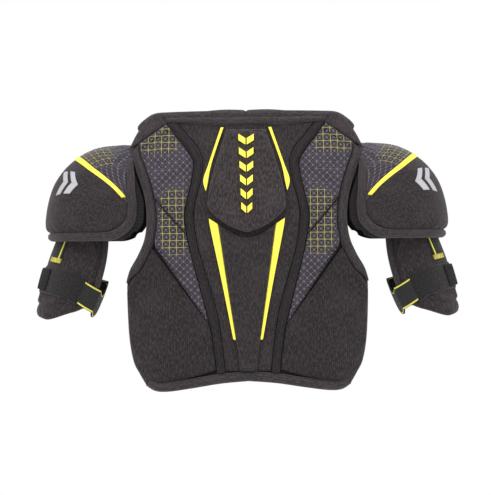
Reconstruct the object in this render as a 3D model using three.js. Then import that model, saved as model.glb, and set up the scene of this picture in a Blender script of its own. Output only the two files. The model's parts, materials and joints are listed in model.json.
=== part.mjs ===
// Ice hockey shoulder pads for a young player. A padded back and a padded chest meet over the shoulders, a dome-shaped
// cap stands off each shoulder, a biceps guard hangs under each cap, and elastic straps close the sides and the arms.
// Millimetres, +Z up. The wearer faces +Y, so the back panel faces -Y and the wearer's right arm is at +X.
// The origin is the middle of the shoulder line, at the foot of the neck, where the pads rest on the wearer.
import * as THREE from "three";

// Overall sizes
const halfWidth = 145.5; // back panel, from the centre line to its widest edge
const height = 317.5; // shoulder line to the lowest point of the hem
const backDepth = 93; // shoulder line to the inner face of the back panel, at the shoulder blades
const chestDepth = 88; // shoulder line to the inner face of the chest panel
const chestInset = 43.5; // inner face of the chest panel at the ribs, in from the back panel's widest edge
const chestHalfWidth = halfWidth - chestInset;

// Layers and edges
const gap = 0.8; // clearance between two layers laid on each other
const seam = 0.4; // clearance between two pieces laid side by side
const linerThickness = 2.2;
const panelThickness = 4;
const bladeThickness = 8;
const kidneyThickness = 6.5;
const plateThickness = 2;
const spinePadThickness = 6;
const stripThickness = 1.2;
const tapeClearance = 1.3; // clearance from a seam tape to the panels beside it, along its curves
const bindingWidth = 11;
const bindingThickness = 7;
const neckTop = 13; // top of the back panel's neck edge above the shoulder line

// Shoulders
const archRise = 7; // crest of the shoulder arch above the neck edge of the back panel
const archThickness = 7;
const archInner = 66; // neck side of the arch, from the centre line
const archFront = 41; // front seam of the arch, ahead of the shoulder line
const collarRadius = 7.5;
const collarHalfWidth = 50; // neck opening, centre line to the collar roll's centre
const collarRear = 40;
const collarSplit = 0.6; // half of the gap between the two collar rolls at the back of the neck

// Shoulder caps
const capReach = 91; // cap centre to its outermost point
const capHalfDepth = 80; // cap centre to its rear and front
const capRise = 116; // rim to crown
const capOffset = 4.5; // back panel's widest edge to the cap's own centre, seen from behind
const capCentre = halfWidth + capOffset;
const capRim = -134; // height of the lower rim
const capLinerThickness = 5;
const capShellThickness = 1.9;
const capShellClearance = 1.1; // liner to shell, across the chords of their curves
const capCoverThickness = 3;
const capFullness = 0.85; // 1 is a plain ellipsoid, less is squarer
const capLean = 18; // how much nearer to the body the cap's rear and front corners stand than its centre
const capEnd = 86; // degrees of latitude where the hood's two corners are cut off
const stripeWidth = 6.8;

// Biceps guards
const armTilt = 16; // degrees that the arm leans outwards
const armRadius = 33; // inside of the guard, sideways
const armHalfDepth = 37; // inside of the guard, front to back
const guardThickness = 8;
const guardTop = -123; // height where the guard starts, inside the cap
const guardLength = 111;
const guardSlant = 34; // how much shorter the guard is at its inner corners
const strapWidth = 25;
const strapThickness = 1.6;
const patchThickness = 1.4;
const hangerWidth = 13;

// Side straps
const sideStrapWidth = 30;
const sideStrapRise = 67.5; // top of the side strap above the lowest point of the hem
const sideStrapTop = sideStrapRise - height;
const sideStrapClearance = 1.8; // strap to the chest's loop patch, so that the chest slides past

const knit = { color: 0x3b3537, roughness: 0.92 };
const gridKnit = { color: 0x4a454a, roughness: 0.88 };
const tapeKnit = { color: 0x2b2728, roughness: 0.85 };
const bindingKnit = { color: 0x443f41, roughness: 0.9 };
const liningMesh = { color: 0x1d1a1a, roughness: 0.95 };
const yellowFilm = { color: 0xf4ea4a, roughness: 0.6 };
const shellPlastic = { color: 0x26272a, roughness: 0.45 };
const elastic = { color: 0x2f2e2d, roughness: 0.85 };
const loopPile = { color: 0x262426, roughness: 1 };
const hookTape = { color: 0x1a1a1b, roughness: 0.7 };

const { clamp, degToRad, lerp, smoothstep } = THREE.MathUtils;
const power = (value, exponent) => Math.sign(value) * Math.abs(value) ** exponent;

// A closed solid from a block of u across, v along and w through, each from 0 to 1, with every vertex moved by place.
function bend(across, along, place) {
  const geometry = new THREE.BoxGeometry(1, 1, 1, across, along, 1);
  const position = geometry.attributes.position;
  for (let i = 0; i < position.count; i++) {
    const spot = place(position.getX(i) + 0.5, position.getY(i) + 0.5, position.getZ(i) + 0.5);
    position.setXYZ(i, spot.x, spot.y, spot.z);
  }
  return facingOut(geometry);
}

// Turns a closed geometry's faces outwards.
function facingOut(geometry) {
  const position = geometry.attributes.position;
  const corners = [0, 1, 2].map(() => new THREE.Vector3());
  const index = geometry.index.array;
  let volume = 0;
  for (let i = 0; i < index.length; i += 3) {
    corners.forEach((corner, k) => corner.fromBufferAttribute(position, index[i + k]));
    volume += corners[0].dot(corners[1].clone().cross(corners[2]));
  }
  if (volume < 0) {
    for (let i = 0; i < index.length; i += 3) {
      [index[i], index[i + 1]] = [index[i + 1], index[i]];
    }
  }
  geometry.computeVertexNormals();
  return geometry;
}

function piece(name, finish, geometry) {
  const mesh = new THREE.Mesh(geometry, new THREE.MeshStandardMaterial({ metalness: 0, ...finish }));
  mesh.name = name;
  return mesh;
}

// Curves on a panel run in the plane seen from behind or in front: x outwards, y up.
const flat = (x, z) => new THREE.Vector2(x, z);
const straight = (a, b) => (t) => a.clone().lerp(b, t);
const stretch = (edge, from, to) => (t) => edge(lerp(from, to, t));
const mirrored = (edge) => (t) => {
  const spot = edge(t);
  return flat(-spot.x, spot.y);
};

// A smooth edge through points given as shares of the back panel's half width and height.
function outline(...points) {
  const spline = new THREE.SplineCurve(points.map(([x, z]) => flat(x * halfWidth, -z * height)));
  return (t) => spline.getPointAt(clamp(t, 0, 1));
}

// The same edge moved sideways, to the left of its direction of travel.
function shifted(edge, distance) {
  const reach = 0.02;
  return (t) => {
    const ahead = edge(Math.min(t + reach, 1)).sub(edge(Math.max(t - reach, 0))).normalize();
    return edge(t).add(flat(-ahead.y, ahead.x).multiplyScalar(distance));
  };
}

// A padded layer laid on a surface, between four edges and two heights above the surface.
function layer(surface, { left, right, bottom, top, from, to, across, along }) {
  const low = bottom ?? straight(left(0), right(0));
  const high = top ?? straight(left(1), right(1));
  const corners = [left(0), right(0), left(1), right(1)];
  return bend(across, along, (u, v, w) => {
    const spot = low(u).multiplyScalar(1 - v);
    spot.add(high(u).multiplyScalar(v));
    spot.add(left(v).multiplyScalar(1 - u));
    spot.add(right(v).multiplyScalar(u));
    const shares = [(1 - u) * (1 - v), u * (1 - v), (1 - u) * v, u * v];
    corners.forEach((corner, i) => spot.addScaledVector(corner, -shares[i]));
    return surface(spot.x, spot.y, lerp(from, to, w));
  });
}

// The back panel at a given height above its inner face: an elliptical sweep that narrows over the shoulders and
// hollows at the waist. A layer thickens straight back, so that its outline seen from behind stays the same.
const backSweep = halfWidth * 1.086;
function backFace(x, z, above) {
  const drop = -z / height;
  const shoulders = 0.62 + 0.38 * smoothstep(drop, -0.06, 0.3);
  const waist = 0.06 * Math.sin(Math.PI * clamp((drop - 0.45) / 0.6, 0, 1));
  const depth = backDepth * (shoulders - waist);
  const curl = Math.sqrt(1 - (x / backSweep) ** 2);
  const slope = (depth * x) / (backSweep ** 2 * curl);
  return new THREE.Vector3(x, -depth * curl - above * Math.hypot(1, slope), z);
}

// The chest panel at a given height above its inner face, at a distance measured round the ribs.
const chestRound = chestHalfWidth * 1.3;
const ribFullness = 0.75;
function chestFace(round, z, above) {
  const angle = (round / chestRound) * (Math.PI / 2);
  const drop = -z / height;
  const depth = chestDepth * (0.5 + 0.5 * smoothstep(drop, -0.05, 0.36)) + above;
  const x = (chestHalfWidth + above) * power(Math.sin(angle), ribFullness);
  return new THREE.Vector3(x, depth * power(Math.cos(angle), ribFullness), z);
}

// Heights of the layers above the inner faces
const onLiner = linerThickness + gap;
const panelTop = onLiner + panelThickness;
const onPanel = panelTop + gap;
const padFrom = onPanel + plateThickness + gap;

// Edges of the back panel, on the right-hand side
const crest = (x) => neckTop + archRise - 37 * (Math.max(Math.abs(x) / halfWidth - 0.715, 0) / 0.261) ** 1.7;
const neckEdge = (share) => flat(share * halfWidth, crest(share * halfWidth) - archRise);
const armholeEdge = outline(
  [0.965, 0.093],
  [0.907, 0.15],
  [0.838, 0.25],
  [0.818, 0.334],
  [0.838, 0.415],
  [0.897, 0.479],
  [0.969, 0.535],
  [1, 0.582],
);
const sideEdge = outline([1, 0.586], [1, 0.65], [0.986, 0.787], [0.95, 0.88], [0.9, 0.93], [0.83, 0.983]);
const hemEdge = outline([0.83, 0.983], [0.749, 1], [0.653, 0.997], [0.467, 0.98], [0.227, 0.959], [0, 0.948]);
const armholeInner = shifted(armholeEdge, -bindingWidth);
const hemInner = shifted(hemEdge, -bindingWidth);
const neckInner = (share) => {
  const spot = neckEdge(share);
  return flat(spot.x * (1 - 0.045 * smoothstep(Math.abs(share), 0.7, 0.95)), spot.y - bindingWidth);
};

// Where the layers end above the hem binding and below the neck binding, as shares of the height
const hemSeam = bindingWidth / height;
const neckSeam = (bindingWidth - neckTop + 1.37) / height;

// Seam tapes, from the neck to the hem
const tapeOuter = outline(
  [0.62, 0.013],
  [0.529, 0.055],
  [0.436, 0.121],
  [0.43, 0.15],
  [0.46, 0.227],
  [0.498, 0.299],
  [0.508, 0.346],
  [0.464, 0.46],
  [0.354, 0.658],
  [0.299, 0.769],
  [0.254, 0.95665 - hemSeam],
);
const tapeInner = outline(
  [0.52, 0.018],
  [0.409, 0.068],
  [0.361, 0.12],
  [0.361, 0.155],
  [0.385, 0.214],
  [0.426, 0.283],
  [0.437, 0.346],
  [0.399, 0.46],
  [0.278, 0.652],
  [0.23, 0.762],
  [0.189, 0.95465 - hemSeam],
);
const bladeFoot = 0.44; // shares of the tape's length where the panels beside it end
const diagonalFoot = 0.8;
const onArmhole = { bladeFoot: 0.36, gridFoot: 0.665 };
const outsideTape = shifted(tapeOuter, tapeClearance);
const insideTape = shifted(tapeInner, -tapeClearance);
const clearOfArmhole = shifted(armholeEdge, -bindingWidth - 2 * seam);
const clearOfHem = shifted(hemEdge, -bindingWidth - seam);

const backRightPieces = {
  seam_tape: () =>
    piece("", tapeKnit, layer(backFace, {
      left: (t) => tapeInner(1 - t),
      right: (t) => tapeOuter(1 - t),
      from: onLiner,
      to: panelTop,
      across: 1,
      along: 18,
    })),
  blade_pad: () =>
    piece("", gridKnit, layer(backFace, {
      left: (t) => outsideTape(lerp(bladeFoot, 0.03, t)),
      right: (t) => clearOfArmhole(lerp(onArmhole.bladeFoot, 0.05, t)),
      from: onLiner,
      to: onLiner + bladeThickness,
      across: 4,
      along: 12,
    })),
  grid_panel: () =>
    piece("", gridKnit, layer(backFace, {
      left: (t) => outsideTape(lerp(diagonalFoot, bladeFoot + 0.012, t)),
      right: (t) => gridOuter(t),
      from: onLiner,
      to: panelTop,
      across: 4,
      along: 10,
    })),
  kidney_pad: () =>
    piece("", knit, layer(backFace, {
      left: (t) => outsideTape(lerp(0.965, diagonalFoot + 0.014, t)),
      right: (t) => kidneyOuter(t),
      bottom: (t) => clearOfHem(lerp(0.66, 0.04, t)),
      from: onLiner + seam,
      to: onLiner + kidneyThickness,
      across: 8,
      along: 9,
    })),
  upper_accent_strip: () =>
    piece("", yellowFilm, layer(backFace, {
      left: outline([0.331, 0.235], [0.318, 0.215], [0.182, neckSeam]),
      right: outline([0.345, 0.24], [0.358, 0.205], [0.214, neckSeam]),
      from: onPanel,
      to: onPanel + stripThickness,
      across: 1,
      along: 6,
    })),
  lower_accent_strip: () =>
    piece("", yellowFilm, layer(backFace, {
      left: shifted(outline([0.099, 0.797], [0.166, 0.589], [0.226, 0.392], [0.241, 0.362]), -seam),
      right: outline([0.12, 0.795], [0.205, 0.589], [0.296, 0.384], [0.309, 0.342]),
      from: onPanel,
      to: onPanel + stripThickness,
      across: 1,
      along: 8,
    })),
  armhole_binding: () =>
    piece("", bindingKnit, layer(backFace, {
      left: (t) => armholeInner(1 - t),
      right: (t) => armholeEdge(1 - t),
      from: onLiner,
      to: onLiner + bindingThickness,
      across: 1,
      along: 14,
    })),
};

// The grid panel's outer side climbs the diagonal seam, then the armhole.
function gridOuter(t) {
  const turn = 0.6;
  const corner = clearOfArmhole(onArmhole.gridFoot);
  if (t < turn) {
    return outsideTape(diagonalFoot).add(flat(1, 0.4)).lerp(corner, t / turn);
  }
  return clearOfArmhole(lerp(onArmhole.gridFoot, onArmhole.bladeFoot + 0.015, (t - turn) / (1 - turn)));
}

// The armhole binding's foot is cut square to its slanting edge, so its inner corner hangs lower when it is wider or
// when the back is shorter, and the kidney pad gives way to it by as much.
const footSlant = 0.094 / ((height / halfWidth) * 0.141);
const footDrop = 3.36; // how far the inner corner hangs below the outer one on the real back
const kidneyDrop = 3.2 * Math.max(bindingWidth * footSlant - footDrop, 0);

// The kidney pad's outer side climbs the free side edge, then follows the foot of the armhole binding.
function kidneyOuter(t) {
  const turn = 0.7;
  if (t < turn) {
    return sideEdge(lerp(0.93, 0.03, t / turn)).add(flat(0, -kidneyDrop * (t / turn) ** 4));
  }
  const spot = clearOfArmhole(lerp(1, onArmhole.gridFoot + 0.03, (t - turn) / (1 - turn)));
  return spot.add(flat(0, -1.2 - kidneyDrop));
}

const backMiddlePieces = {
  back_liner: () =>
    piece("back_liner", liningMesh, layer(backFace, {
      left: mirrored(linerSide),
      right: linerSide,
      bottom: (t) => (t < 0.5 ? mirrored(hemEdge)(2 * t) : hemEdge(2 - 2 * t)),
      top: (t) => neckEdge(lerp(-0.955, 0.955, t)),
      from: 0,
      to: linerThickness,
      across: 18,
      along: 16,
    })),
  centre_panel: () =>
    piece("centre_panel", knit, layer(backFace, {
      left: (t) => mirrored(insideTape)(lerp(0.985, 0.03, t)),
      right: (t) => insideTape(lerp(0.985, 0.03, t)),
      from: onLiner,
      to: panelTop,
      across: 8,
      along: 14,
    })),
  spine_plate: () =>
    piece("spine_plate", shellPlastic, layer(backFace, {
      left: mirrored(spinePlateSide),
      right: spinePlateSide,
      from: onPanel,
      to: onPanel + plateThickness,
      across: 6,
      along: 8,
    })),
  upper_spine_pad: () =>
    piece("upper_spine_pad", knit, layer(backFace, {
      left: mirrored(upperSpineSide),
      right: upperSpineSide,
      from: padFrom,
      to: padFrom + spinePadThickness,
      across: 6,
      along: 9,
    })),
  lower_spine_pad: () =>
    piece("lower_spine_pad", knit, layer(backFace, {
      left: mirrored(lowerSpineSide),
      right: lowerSpineSide,
      top: (t) => lowerSpineSide(1).setX(0).add(flat(lerp(-1, 1, t) * lowerSpineSide(1).x, -17 * Math.sin(Math.PI * t))),
      from: onPanel,
      to: onPanel + spinePadThickness,
      across: 4,
      along: 8,
    })),
  hem_binding: () =>
    piece("hem_binding", bindingKnit, layer(backFace, {
      left: (t) => hemAround(hemEdge, t),
      right: (t) => hemAround(hemInner, t),
      from: onLiner,
      to: onLiner + bindingThickness,
      across: 1,
      along: 24,
    })),
  neck_binding: () =>
    piece("neck_binding", bindingKnit, layer(backFace, {
      left: (t) => neckEdge(lerp(0.9, -0.9, t)),
      right: (t) => neckInner(lerp(0.9, -0.9, t)),
      from: onLiner,
      to: onLiner + bindingThickness,
      across: 1,
      along: 24,
    })),
};

const spinePlateSide = outline([0.03, 0.372], [0.22, 0.338], [0.295, 0.29], [0.25, 0.17], [0.155, 0.02]);
const upperSpineSide = outline(
  [0.015, 0.394],
  [0.16, 0.367],
  [0.29, 0.318],
  [0.32, 0.283],
  [0.275, 0.173],
  [0.162, 0.006],
);
const lowerSpineSide = outline([0.065, 0.94765 - hemSeam], [0.096, 0.797], [0.163, 0.589], [0.223, 0.392], [0.237, 0.362]);

// The liner's side runs up the free edge, then up the armhole.
function linerSide(t) {
  const turn = 0.4;
  return t < turn ? sideEdge(1 - t / turn) : armholeEdge(1 - (t - turn) / (1 - turn));
}

// The hem from the left corner to the right corner.
function hemAround(edge, t) {
  const end = 0.012;
  return t < 0.5 ? mirrored(edge)(lerp(end, 1, 2 * t)) : edge(lerp(1, end, 2 * t - 1));
}

// Over the shoulder: a saddle from inside the back panel's top edge to the chest hinge.
const archOuter = halfWidth * 0.945;
function shoulderArch() {
  const across = 5;
  const along = 10;
  return bend(across, along, (u, v, w) => {
    const x = lerp(archInner, archOuter, u);
    const rearHeight = crest(x) - archRise - 12;
    const rear = backFace(x, rearHeight, -2 * gap).y;
    const sweep = Math.PI * lerp(0.02, 0.98, v);
    const middle = (rear + archFront) / 2;
    const reach = (archFront - rear) / 2 - (1 - w) * archThickness;
    const rise = crest(x) - rearHeight - (1 - w) * archThickness;
    const y = middle - reach * power(Math.cos(sweep), 0.8);
    return new THREE.Vector3(x, y, rearHeight + rise * power(Math.sin(sweep), 0.7));
  });
}

// A padded roll that starts at the back of the neck and runs round its side to the chest.
function collarRoll() {
  const crown = neckTop + archRise - collarRadius;
  const path = new THREE.CatmullRomCurve3([
    new THREE.Vector3(collarSplit, -collarRear, crown - 1),
    new THREE.Vector3(collarHalfWidth * 0.45, -collarRear + 1, crown),
    new THREE.Vector3(collarHalfWidth * 0.9, -collarRear * 0.72, crown),
    new THREE.Vector3(collarHalfWidth * 1.04, -collarRear * 0.2, crown),
    new THREE.Vector3(collarHalfWidth, collarRear * 0.4, crown - 4),
    new THREE.Vector3(collarHalfWidth * 0.96, archFront - 12, crown - 12),
  ]);
  const section = new THREE.Shape();
  section.absarc(0, 0, collarRadius, 0, Math.PI * 2);
  const geometry = new THREE.ExtrudeGeometry(section, { steps: 14, extrudePath: path, curveSegments: 4 });
  return geometry;
}

// Chest edges, measured round the ribs and down from the shoulder line, on the right-hand side
const around = (share, drop) => flat(share * chestRound, -drop * height);
function chestOutline(...points) {
  const spline = new THREE.SplineCurve(points.map(([share, drop]) => around(share, drop)));
  return (t) => spline.getPointAt(clamp(t, 0, 1));
}
const chestSide = chestOutline(
  [0.5, 0.035],
  [0.47, 0.15],
  [0.46, 0.26],
  [0.58, 0.37],
  [0.84, 0.47],
  [0.93, 0.54],
  [0.94, 0.7],
  [0.94, 0.83],
);
const chestHem = chestOutline([0.94, 0.83], [0.7, 0.855], [0.35, 0.85], [0, 0.845]);
const chestNeck = chestOutline([0, 0.17], [0.14, 0.155], [0.24, 0.1], [0.26, 0.035]);
const chestShoulder = straight(chestNeck(1), chestSide(0));

// Once round the chest panel: down its right side, along the hem, up the left side and over the neck.
function chestRim(t) {
  const walk = [
    [0.3, stretch(chestSide, 0, 1)],
    [0.5, stretch(chestHem, 0, 1)],
    [0.7, (s) => mirrored(chestHem)(1 - s)],
    [1, (s) => mirrored(chestSide)(1 - s)],
  ];
  let start = 0;
  for (const [end, edge] of walk) {
    if (t <= end) {
      return edge((t - start) / (end - start));
    }
    start = end;
  }
  return mirrored(chestSide)(0);
}

const chestLayers = {
  chest_liner: [liningMesh, {
    left: (t) => mirrored(chestSide)(1 - t),
    right: (t) => chestSide(1 - t),
    bottom: (t) => (t < 0.5 ? mirrored(chestHem)(2 * t) : chestHem(2 - 2 * t)),
    top: chestTop,
    from: 0,
    to: linerThickness,
    across: 14,
    along: 14,
  }],
  chest_edge_binding: [bindingKnit, {
    left: (t) => chestRim(t),
    right: (t) => shifted(chestRim, -bindingWidth)(t),
    from: onLiner,
    to: onLiner + bindingThickness - 1,
    across: 1,
    along: 50,
  }],
  sternum_plate: [shellPlastic, {
    left: mirrored(chestOutline([0.1, 0.5], [0.15, 0.35], [0.12, 0.24])),
    right: chestOutline([0.1, 0.5], [0.15, 0.35], [0.12, 0.24]),
    from: onLiner,
    to: onLiner + plateThickness,
    across: 4,
    along: 4,
  }],
  sternum_pad: [knit, {
    left: mirrored(chestOutline([0.11, 0.51], [0.17, 0.35], [0.13, 0.225])),
    right: chestOutline([0.11, 0.51], [0.17, 0.35], [0.13, 0.225]),
    from: onLiner + plateThickness + gap,
    to: onLiner + plateThickness + gap + spinePadThickness,
    across: 4,
    along: 6,
  }],
  belly_pad: [knit, {
    left: mirrored(chestOutline([0.8, 0.79], [0.8, 0.65], [0.76, 0.545])),
    right: chestOutline([0.8, 0.79], [0.8, 0.65], [0.76, 0.545]),
    from: onLiner,
    to: onLiner + panelThickness,
    across: 12,
    along: 5,
  }],
};

// The top of the chest panel dips for the neck between its two shoulder straps.
function chestTop(t) {
  const side = Math.abs(2 * t - 1);
  const strap = 0.45;
  const spot = side > strap
    ? chestShoulder((side - strap) / (1 - strap))
    : chestNeck(side / strap);
  return flat(Math.sign(2 * t - 1) * spot.x, spot.y);
}

const edgeShare = bindingWidth / chestRound; // the chest's edge binding, as a share of the way round the ribs
function chestPad() {
  return layer(chestFace, {
    left: chestOutline([0.2, 0.51], [0.21, 0.35], [0.25, 0.2], [0.31, 0.08]),
    right: chestOutline(
      [0.743 - edgeShare, 0.51],
      [0.563 - edgeShare, 0.4],
      [0.443 - edgeShare, 0.27],
      [0.473 - edgeShare, 0.08],
    ),
    from: onLiner,
    to: onLiner + bladeThickness,
    across: 6,
    along: 12,
  });
}

const sideStrapFoot = sideStrapTop - sideStrapWidth;
const patchRear = 12; // the loop patch on the chest's flank, ahead of the shoulder line
const patchFront = 46;
const flankOuter = chestHalfWidth + onLiner + bindingThickness + gap;
function flankPatch() {
  const geometry = new THREE.BoxGeometry(patchThickness, patchFront - patchRear, sideStrapWidth + 6);
  const height = sideStrapTop - sideStrapWidth / 2;
  return geometry.translate(flankOuter + patchThickness / 2, (patchRear + patchFront) / 2, height);
}

// The side strap runs from its seam inside the back panel's edge to the chest's flank. Its hook tab is on its inside.
const strapInner = flankOuter + patchThickness + sideStrapClearance + patchThickness + seam;
const sideStrapSeam = halfWidth * 0.9;
function sideStrapPath() {
  const rear = backFace(sideStrapSeam, sideStrapTop, -gap - strapThickness).y;
  return new THREE.SplineCurve([
    flat(sideStrapSeam, rear),
    flat(lerp(sideStrapSeam, strapInner, 0.62), lerp(rear, patchRear, 0.45)),
    flat(strapInner, patchRear - 6),
    flat(strapInner, patchRear + 10),
    flat(strapInner, patchFront + 6),
  ]);
}

// A flat band that stands on edge along a plan curve, thickness outwards.
function band(path, along, thickness, foot, width) {
  return bend(1, along, (u, v, w) => {
    const spot = path.getPointAt(v);
    const ahead = path.getTangentAt(v);
    return new THREE.Vector3(spot.x + ahead.y * thickness * w, spot.y - ahead.x * thickness * w, foot + width * u);
  });
}

function sideStrapTab() {
  const geometry = new THREE.BoxGeometry(patchThickness, patchFront - patchRear, sideStrapWidth - 4);
  const x = strapInner - seam - patchThickness / 2;
  return geometry.translate(x, (patchRear + patchFront) / 2, sideStrapTop - sideStrapWidth / 2);
}

// A point on the cap's dome, some way inside its outer face. Latitude 0 is the middle and -90 the rear, and
// longitude 0 is the crown and 90 the rim, both in degrees.
function dome(longitude, latitude, inside) {
  const narrowing = power(Math.cos(degToRad(latitude)), capFullness);
  const out = (capReach - inside) * narrowing * power(Math.sin(degToRad(longitude)), capFullness);
  const up = (capRise - inside) * narrowing * power(Math.cos(degToRad(longitude)), capFullness);
  const y = (capHalfDepth - inside) * power(Math.sin(degToRad(latitude)), capFullness);
  const lean = capLean * smoothstep(Math.abs(latitude), 35, capEnd);
  return new THREE.Vector3(capCentre + out - lean, y, capRim + up);
}

// How far the back panel's armhole edge stands from the centre line at a height.
function armholeAt(z) {
  let low = 0;
  let high = 1;
  for (let i = 0; i < 24; i++) {
    const middle = (low + high) / 2;
    [low, high] = armholeEdge(middle).y > z ? [middle, high] : [low, middle];
  }
  return armholeEdge(low).x;
}

const capMostRound = 46; // degrees past the crown, the furthest that the cap's lower corners reach round
// The longitude where the cap's body side runs, clear of the armhole by some margin.
function bodySideAt(latitude, margin) {
  let [low, high] = [-capMostRound, 40];
  for (let i = 0; i < 24; i++) {
    const middle = (low + high) / 2;
    const spot = dome(middle, latitude, 0);
    [low, high] = spot.x < armholeAt(spot.z) + margin ? [middle, high] : [low, middle];
  }
  return high;
}

// The cap's hood, from the body side over to the rim as u goes 0 to 1, and from the rear to the front as v goes 0 to 1.
const capClearance = 2.6; // the cap's body side to the armhole edge, seen from behind
const liningReveal = 10; // the lining shows this far beyond the cap's binding
function hood(u, v, inside, reveal = 0) {
  const latitude = lerp(-capEnd, capEnd, v);
  const margin = capClearance + reveal * smoothstep(Math.abs(latitude), 8, 45);
  return dome(lerp(bodySideAt(latitude, margin), 90, u), latitude, inside);
}

const capStack = capLinerThickness + capShellClearance + capShellThickness + gap + capCoverThickness;
const coverInside = capCoverThickness;
const shellInside = coverInside + gap + capShellThickness;
const bindingShareAcross = 0.1;
const bindingShareAlong = 0.045;
const capSeamShare = 0.036; // clearance from the binding to the cover, as a share of the hood

function capLiner() {
  return bend(8, 12, (u, v, w) => hood(u, v, lerp(capStack, capStack - capLinerThickness, w)));
}

function capLayer(from, to) {
  return bend(7, 12, (u, v, w) => {
    const across = lerp(bindingShareAcross + capSeamShare, 1 - bindingShareAcross - capSeamShare, u);
    const along = lerp(bindingShareAlong + capSeamShare, 1 - bindingShareAlong - capSeamShare, v);
    return hood(across, along, lerp(from, to, w), liningReveal);
  });
}

// The binding goes once round the hood: u is 0 at the free edge, and v walks the four sides.
function capBinding() {
  const sides = [
    [0, 0.38, (s) => [0, 1 - s]],
    [0.38, 0.5, (s) => [s, 0]],
    [0.5, 0.88, (s) => [1, s]],
    [0.88, 1, (s) => [1 - s, 1]],
  ];
  return bend(1, 40, (u, v, w) => {
    const walk = v * 0.997;
    const [start, end, place] = sides.find(([, last]) => walk <= last + 1e-9);
    const [across, along] = place((walk - start) / (end - start));
    const inwards = (share, margin) => lerp(share, lerp(margin, 1 - margin, share), u);
    return hood(
      inwards(across, bindingShareAcross),
      inwards(along, bindingShareAlong),
      lerp(capStack - capLinerThickness - 2 * gap, -1, w),
      liningReveal,
    );
  });
}

// A yellow stripe from the binding at the rear, over the crown, to the binding at the front.
function capStripe() {
  return bend(1, 16, (u, v, w) => {
    const share = lerp(-1, 1, v);
    const latitude = share * 47;
    const centre = 35 - 23 * share ** 2;
    const halfAngle = (stripeWidth / 2 / capReach) * (180 / Math.PI) / Math.cos(degToRad(latitude * 0.8));
    return dome(centre + lerp(-halfAngle, halfAngle, u), latitude, lerp(-gap, -gap - stripThickness, w));
  });
}

// Biceps guard: angle 0 is the rear, 90 the outer side, 180 the front, and down runs along the arm from 0 to 1.
const tilt = degToRad(armTilt);
const guardClearance = 8.5; // guard to the inside of the cap's rim
const armTopX = capCentre + capReach - capStack - guardClearance - guardThickness - armRadius;
function arm(angle, down, above) {
  const turn = degToRad(angle);
  const out = (armRadius + above) * Math.sin(turn);
  const rear = (armHalfDepth + above) * Math.cos(turn);
  const along = down * guardLength;
  return new THREE.Vector3(
    armTopX + along * Math.sin(tilt) + out * Math.cos(tilt),
    -rear,
    guardTop - along * Math.cos(tilt) + out * Math.sin(tilt),
  );
}

const guardRear = -40;
const guardFront = 200;
const guardFoot = (angle) => 1 - (guardSlant / guardLength) * (1 - Math.sin(degToRad(clamp(angle, -90, 270)))) * 0.6;
const bindingAngle = 14;

function guardPad() {
  return bend(12, 4, (u, v, w) => {
    const angle = lerp(guardRear + bindingAngle, guardFront - bindingAngle, u);
    return arm(angle, v * guardFoot(angle), w * guardThickness);
  });
}

// The guard's rear edge is bound from the cap down, with the seam clearance to the pad.
function guardBinding() {
  return bend(2, 5, (u, v, w) => {
    const angle = lerp(guardRear, guardRear + bindingAngle - 0.8, u);
    return arm(angle, v * guardFoot(angle), w * (guardThickness - 1));
  });
}

const strapDown = (angle) => 0.68 - 0.16 * Math.sin(degToRad(angle));
const halfStrap = strapWidth / 2 / guardLength;
function wrapped(fromAngle, toAngle, widthShare, from, to, along) {
  return bend(1, along, (u, v, w) => {
    const angle = lerp(fromAngle, toAngle, v);
    const down = strapDown(angle) + lerp(-halfStrap, halfStrap, u) * widthShare;
    return arm(angle, down, guardThickness + lerp(from, to, w));
  });
}

const patchAngles = [-28, 72];
const tabAngles = [56, 112];
function guardHanger() {
  return bend(1, 4, (u, v, w) => {
    const angle = lerp(28, 42, v) + lerp(-9, 9, u) * (hangerWidth / 13);
    return arm(angle, lerp(0.06, 0.33, v), guardThickness + gap + w * strapThickness);
  });
}

const capPieces = {
  cap_liner: [liningMesh, capLiner],
  cap_shell: [shellPlastic, () => capLayer(shellInside, shellInside - capShellThickness)],
  cap_cover: [knit, () => capLayer(coverInside, 0)],
  cap_binding: [bindingKnit, capBinding],
  cap_stripe: [yellowFilm, capStripe],
};

const armPieces = {
  biceps_guard: [knit, guardPad],
  biceps_binding: [bindingKnit, guardBinding],
  biceps_loop_patch: [loopPile, () => wrapped(...patchAngles, 1.15, gap, gap + patchThickness, 6)],
  biceps_strap: [elastic, () =>
    wrapped(patchAngles[0] - 1, tabAngles[1] - 358.5, 1, gap, gap + strapThickness, 20)],
  biceps_hook_tab: [hookTape, () =>
    wrapped(...tabAngles, 0.96, 2 * gap + patchThickness, 2 * gap + patchThickness + strapThickness, 5)],
  biceps_hanger: [elastic, guardHanger],
};

const otherPairs = {
  shoulder_arch: [knit, shoulderArch],
  collar_roll: [bindingKnit, collarRoll],
  chest_pad: [gridKnit, chestPad],
  flank_loop_patch: [loopPile, flankPatch],
  side_strap: [elastic, () => band(sideStrapPath(), 14, strapThickness, sideStrapFoot, sideStrapWidth)],
  side_strap_tab: [hookTape, sideStrapTab],
};

const pads = new THREE.Group();
for (const build of Object.values(backMiddlePieces)) {
  pads.add(build());
}
for (const [name, [finish, shape]] of Object.entries(chestLayers)) {
  pads.add(piece(name, finish, layer(chestFace, shape)));
}
for (const side of ["right", "left"]) {
  const half = new THREE.Group();
  half.scale.x = side === "right" ? 1 : -1;
  for (const [name, build] of Object.entries(backRightPieces)) {
    const mesh = build();
    mesh.name = `${name}_${side}`;
    half.add(mesh);
  }
  for (const [name, [finish, shape]] of Object.entries({ ...capPieces, ...armPieces, ...otherPairs })) {
    half.add(piece(`${name}_${side}`, finish, shape()));
  }
  pads.add(half);
}

export default pads;
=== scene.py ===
import json
import math
from functools import lru_cache

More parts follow.
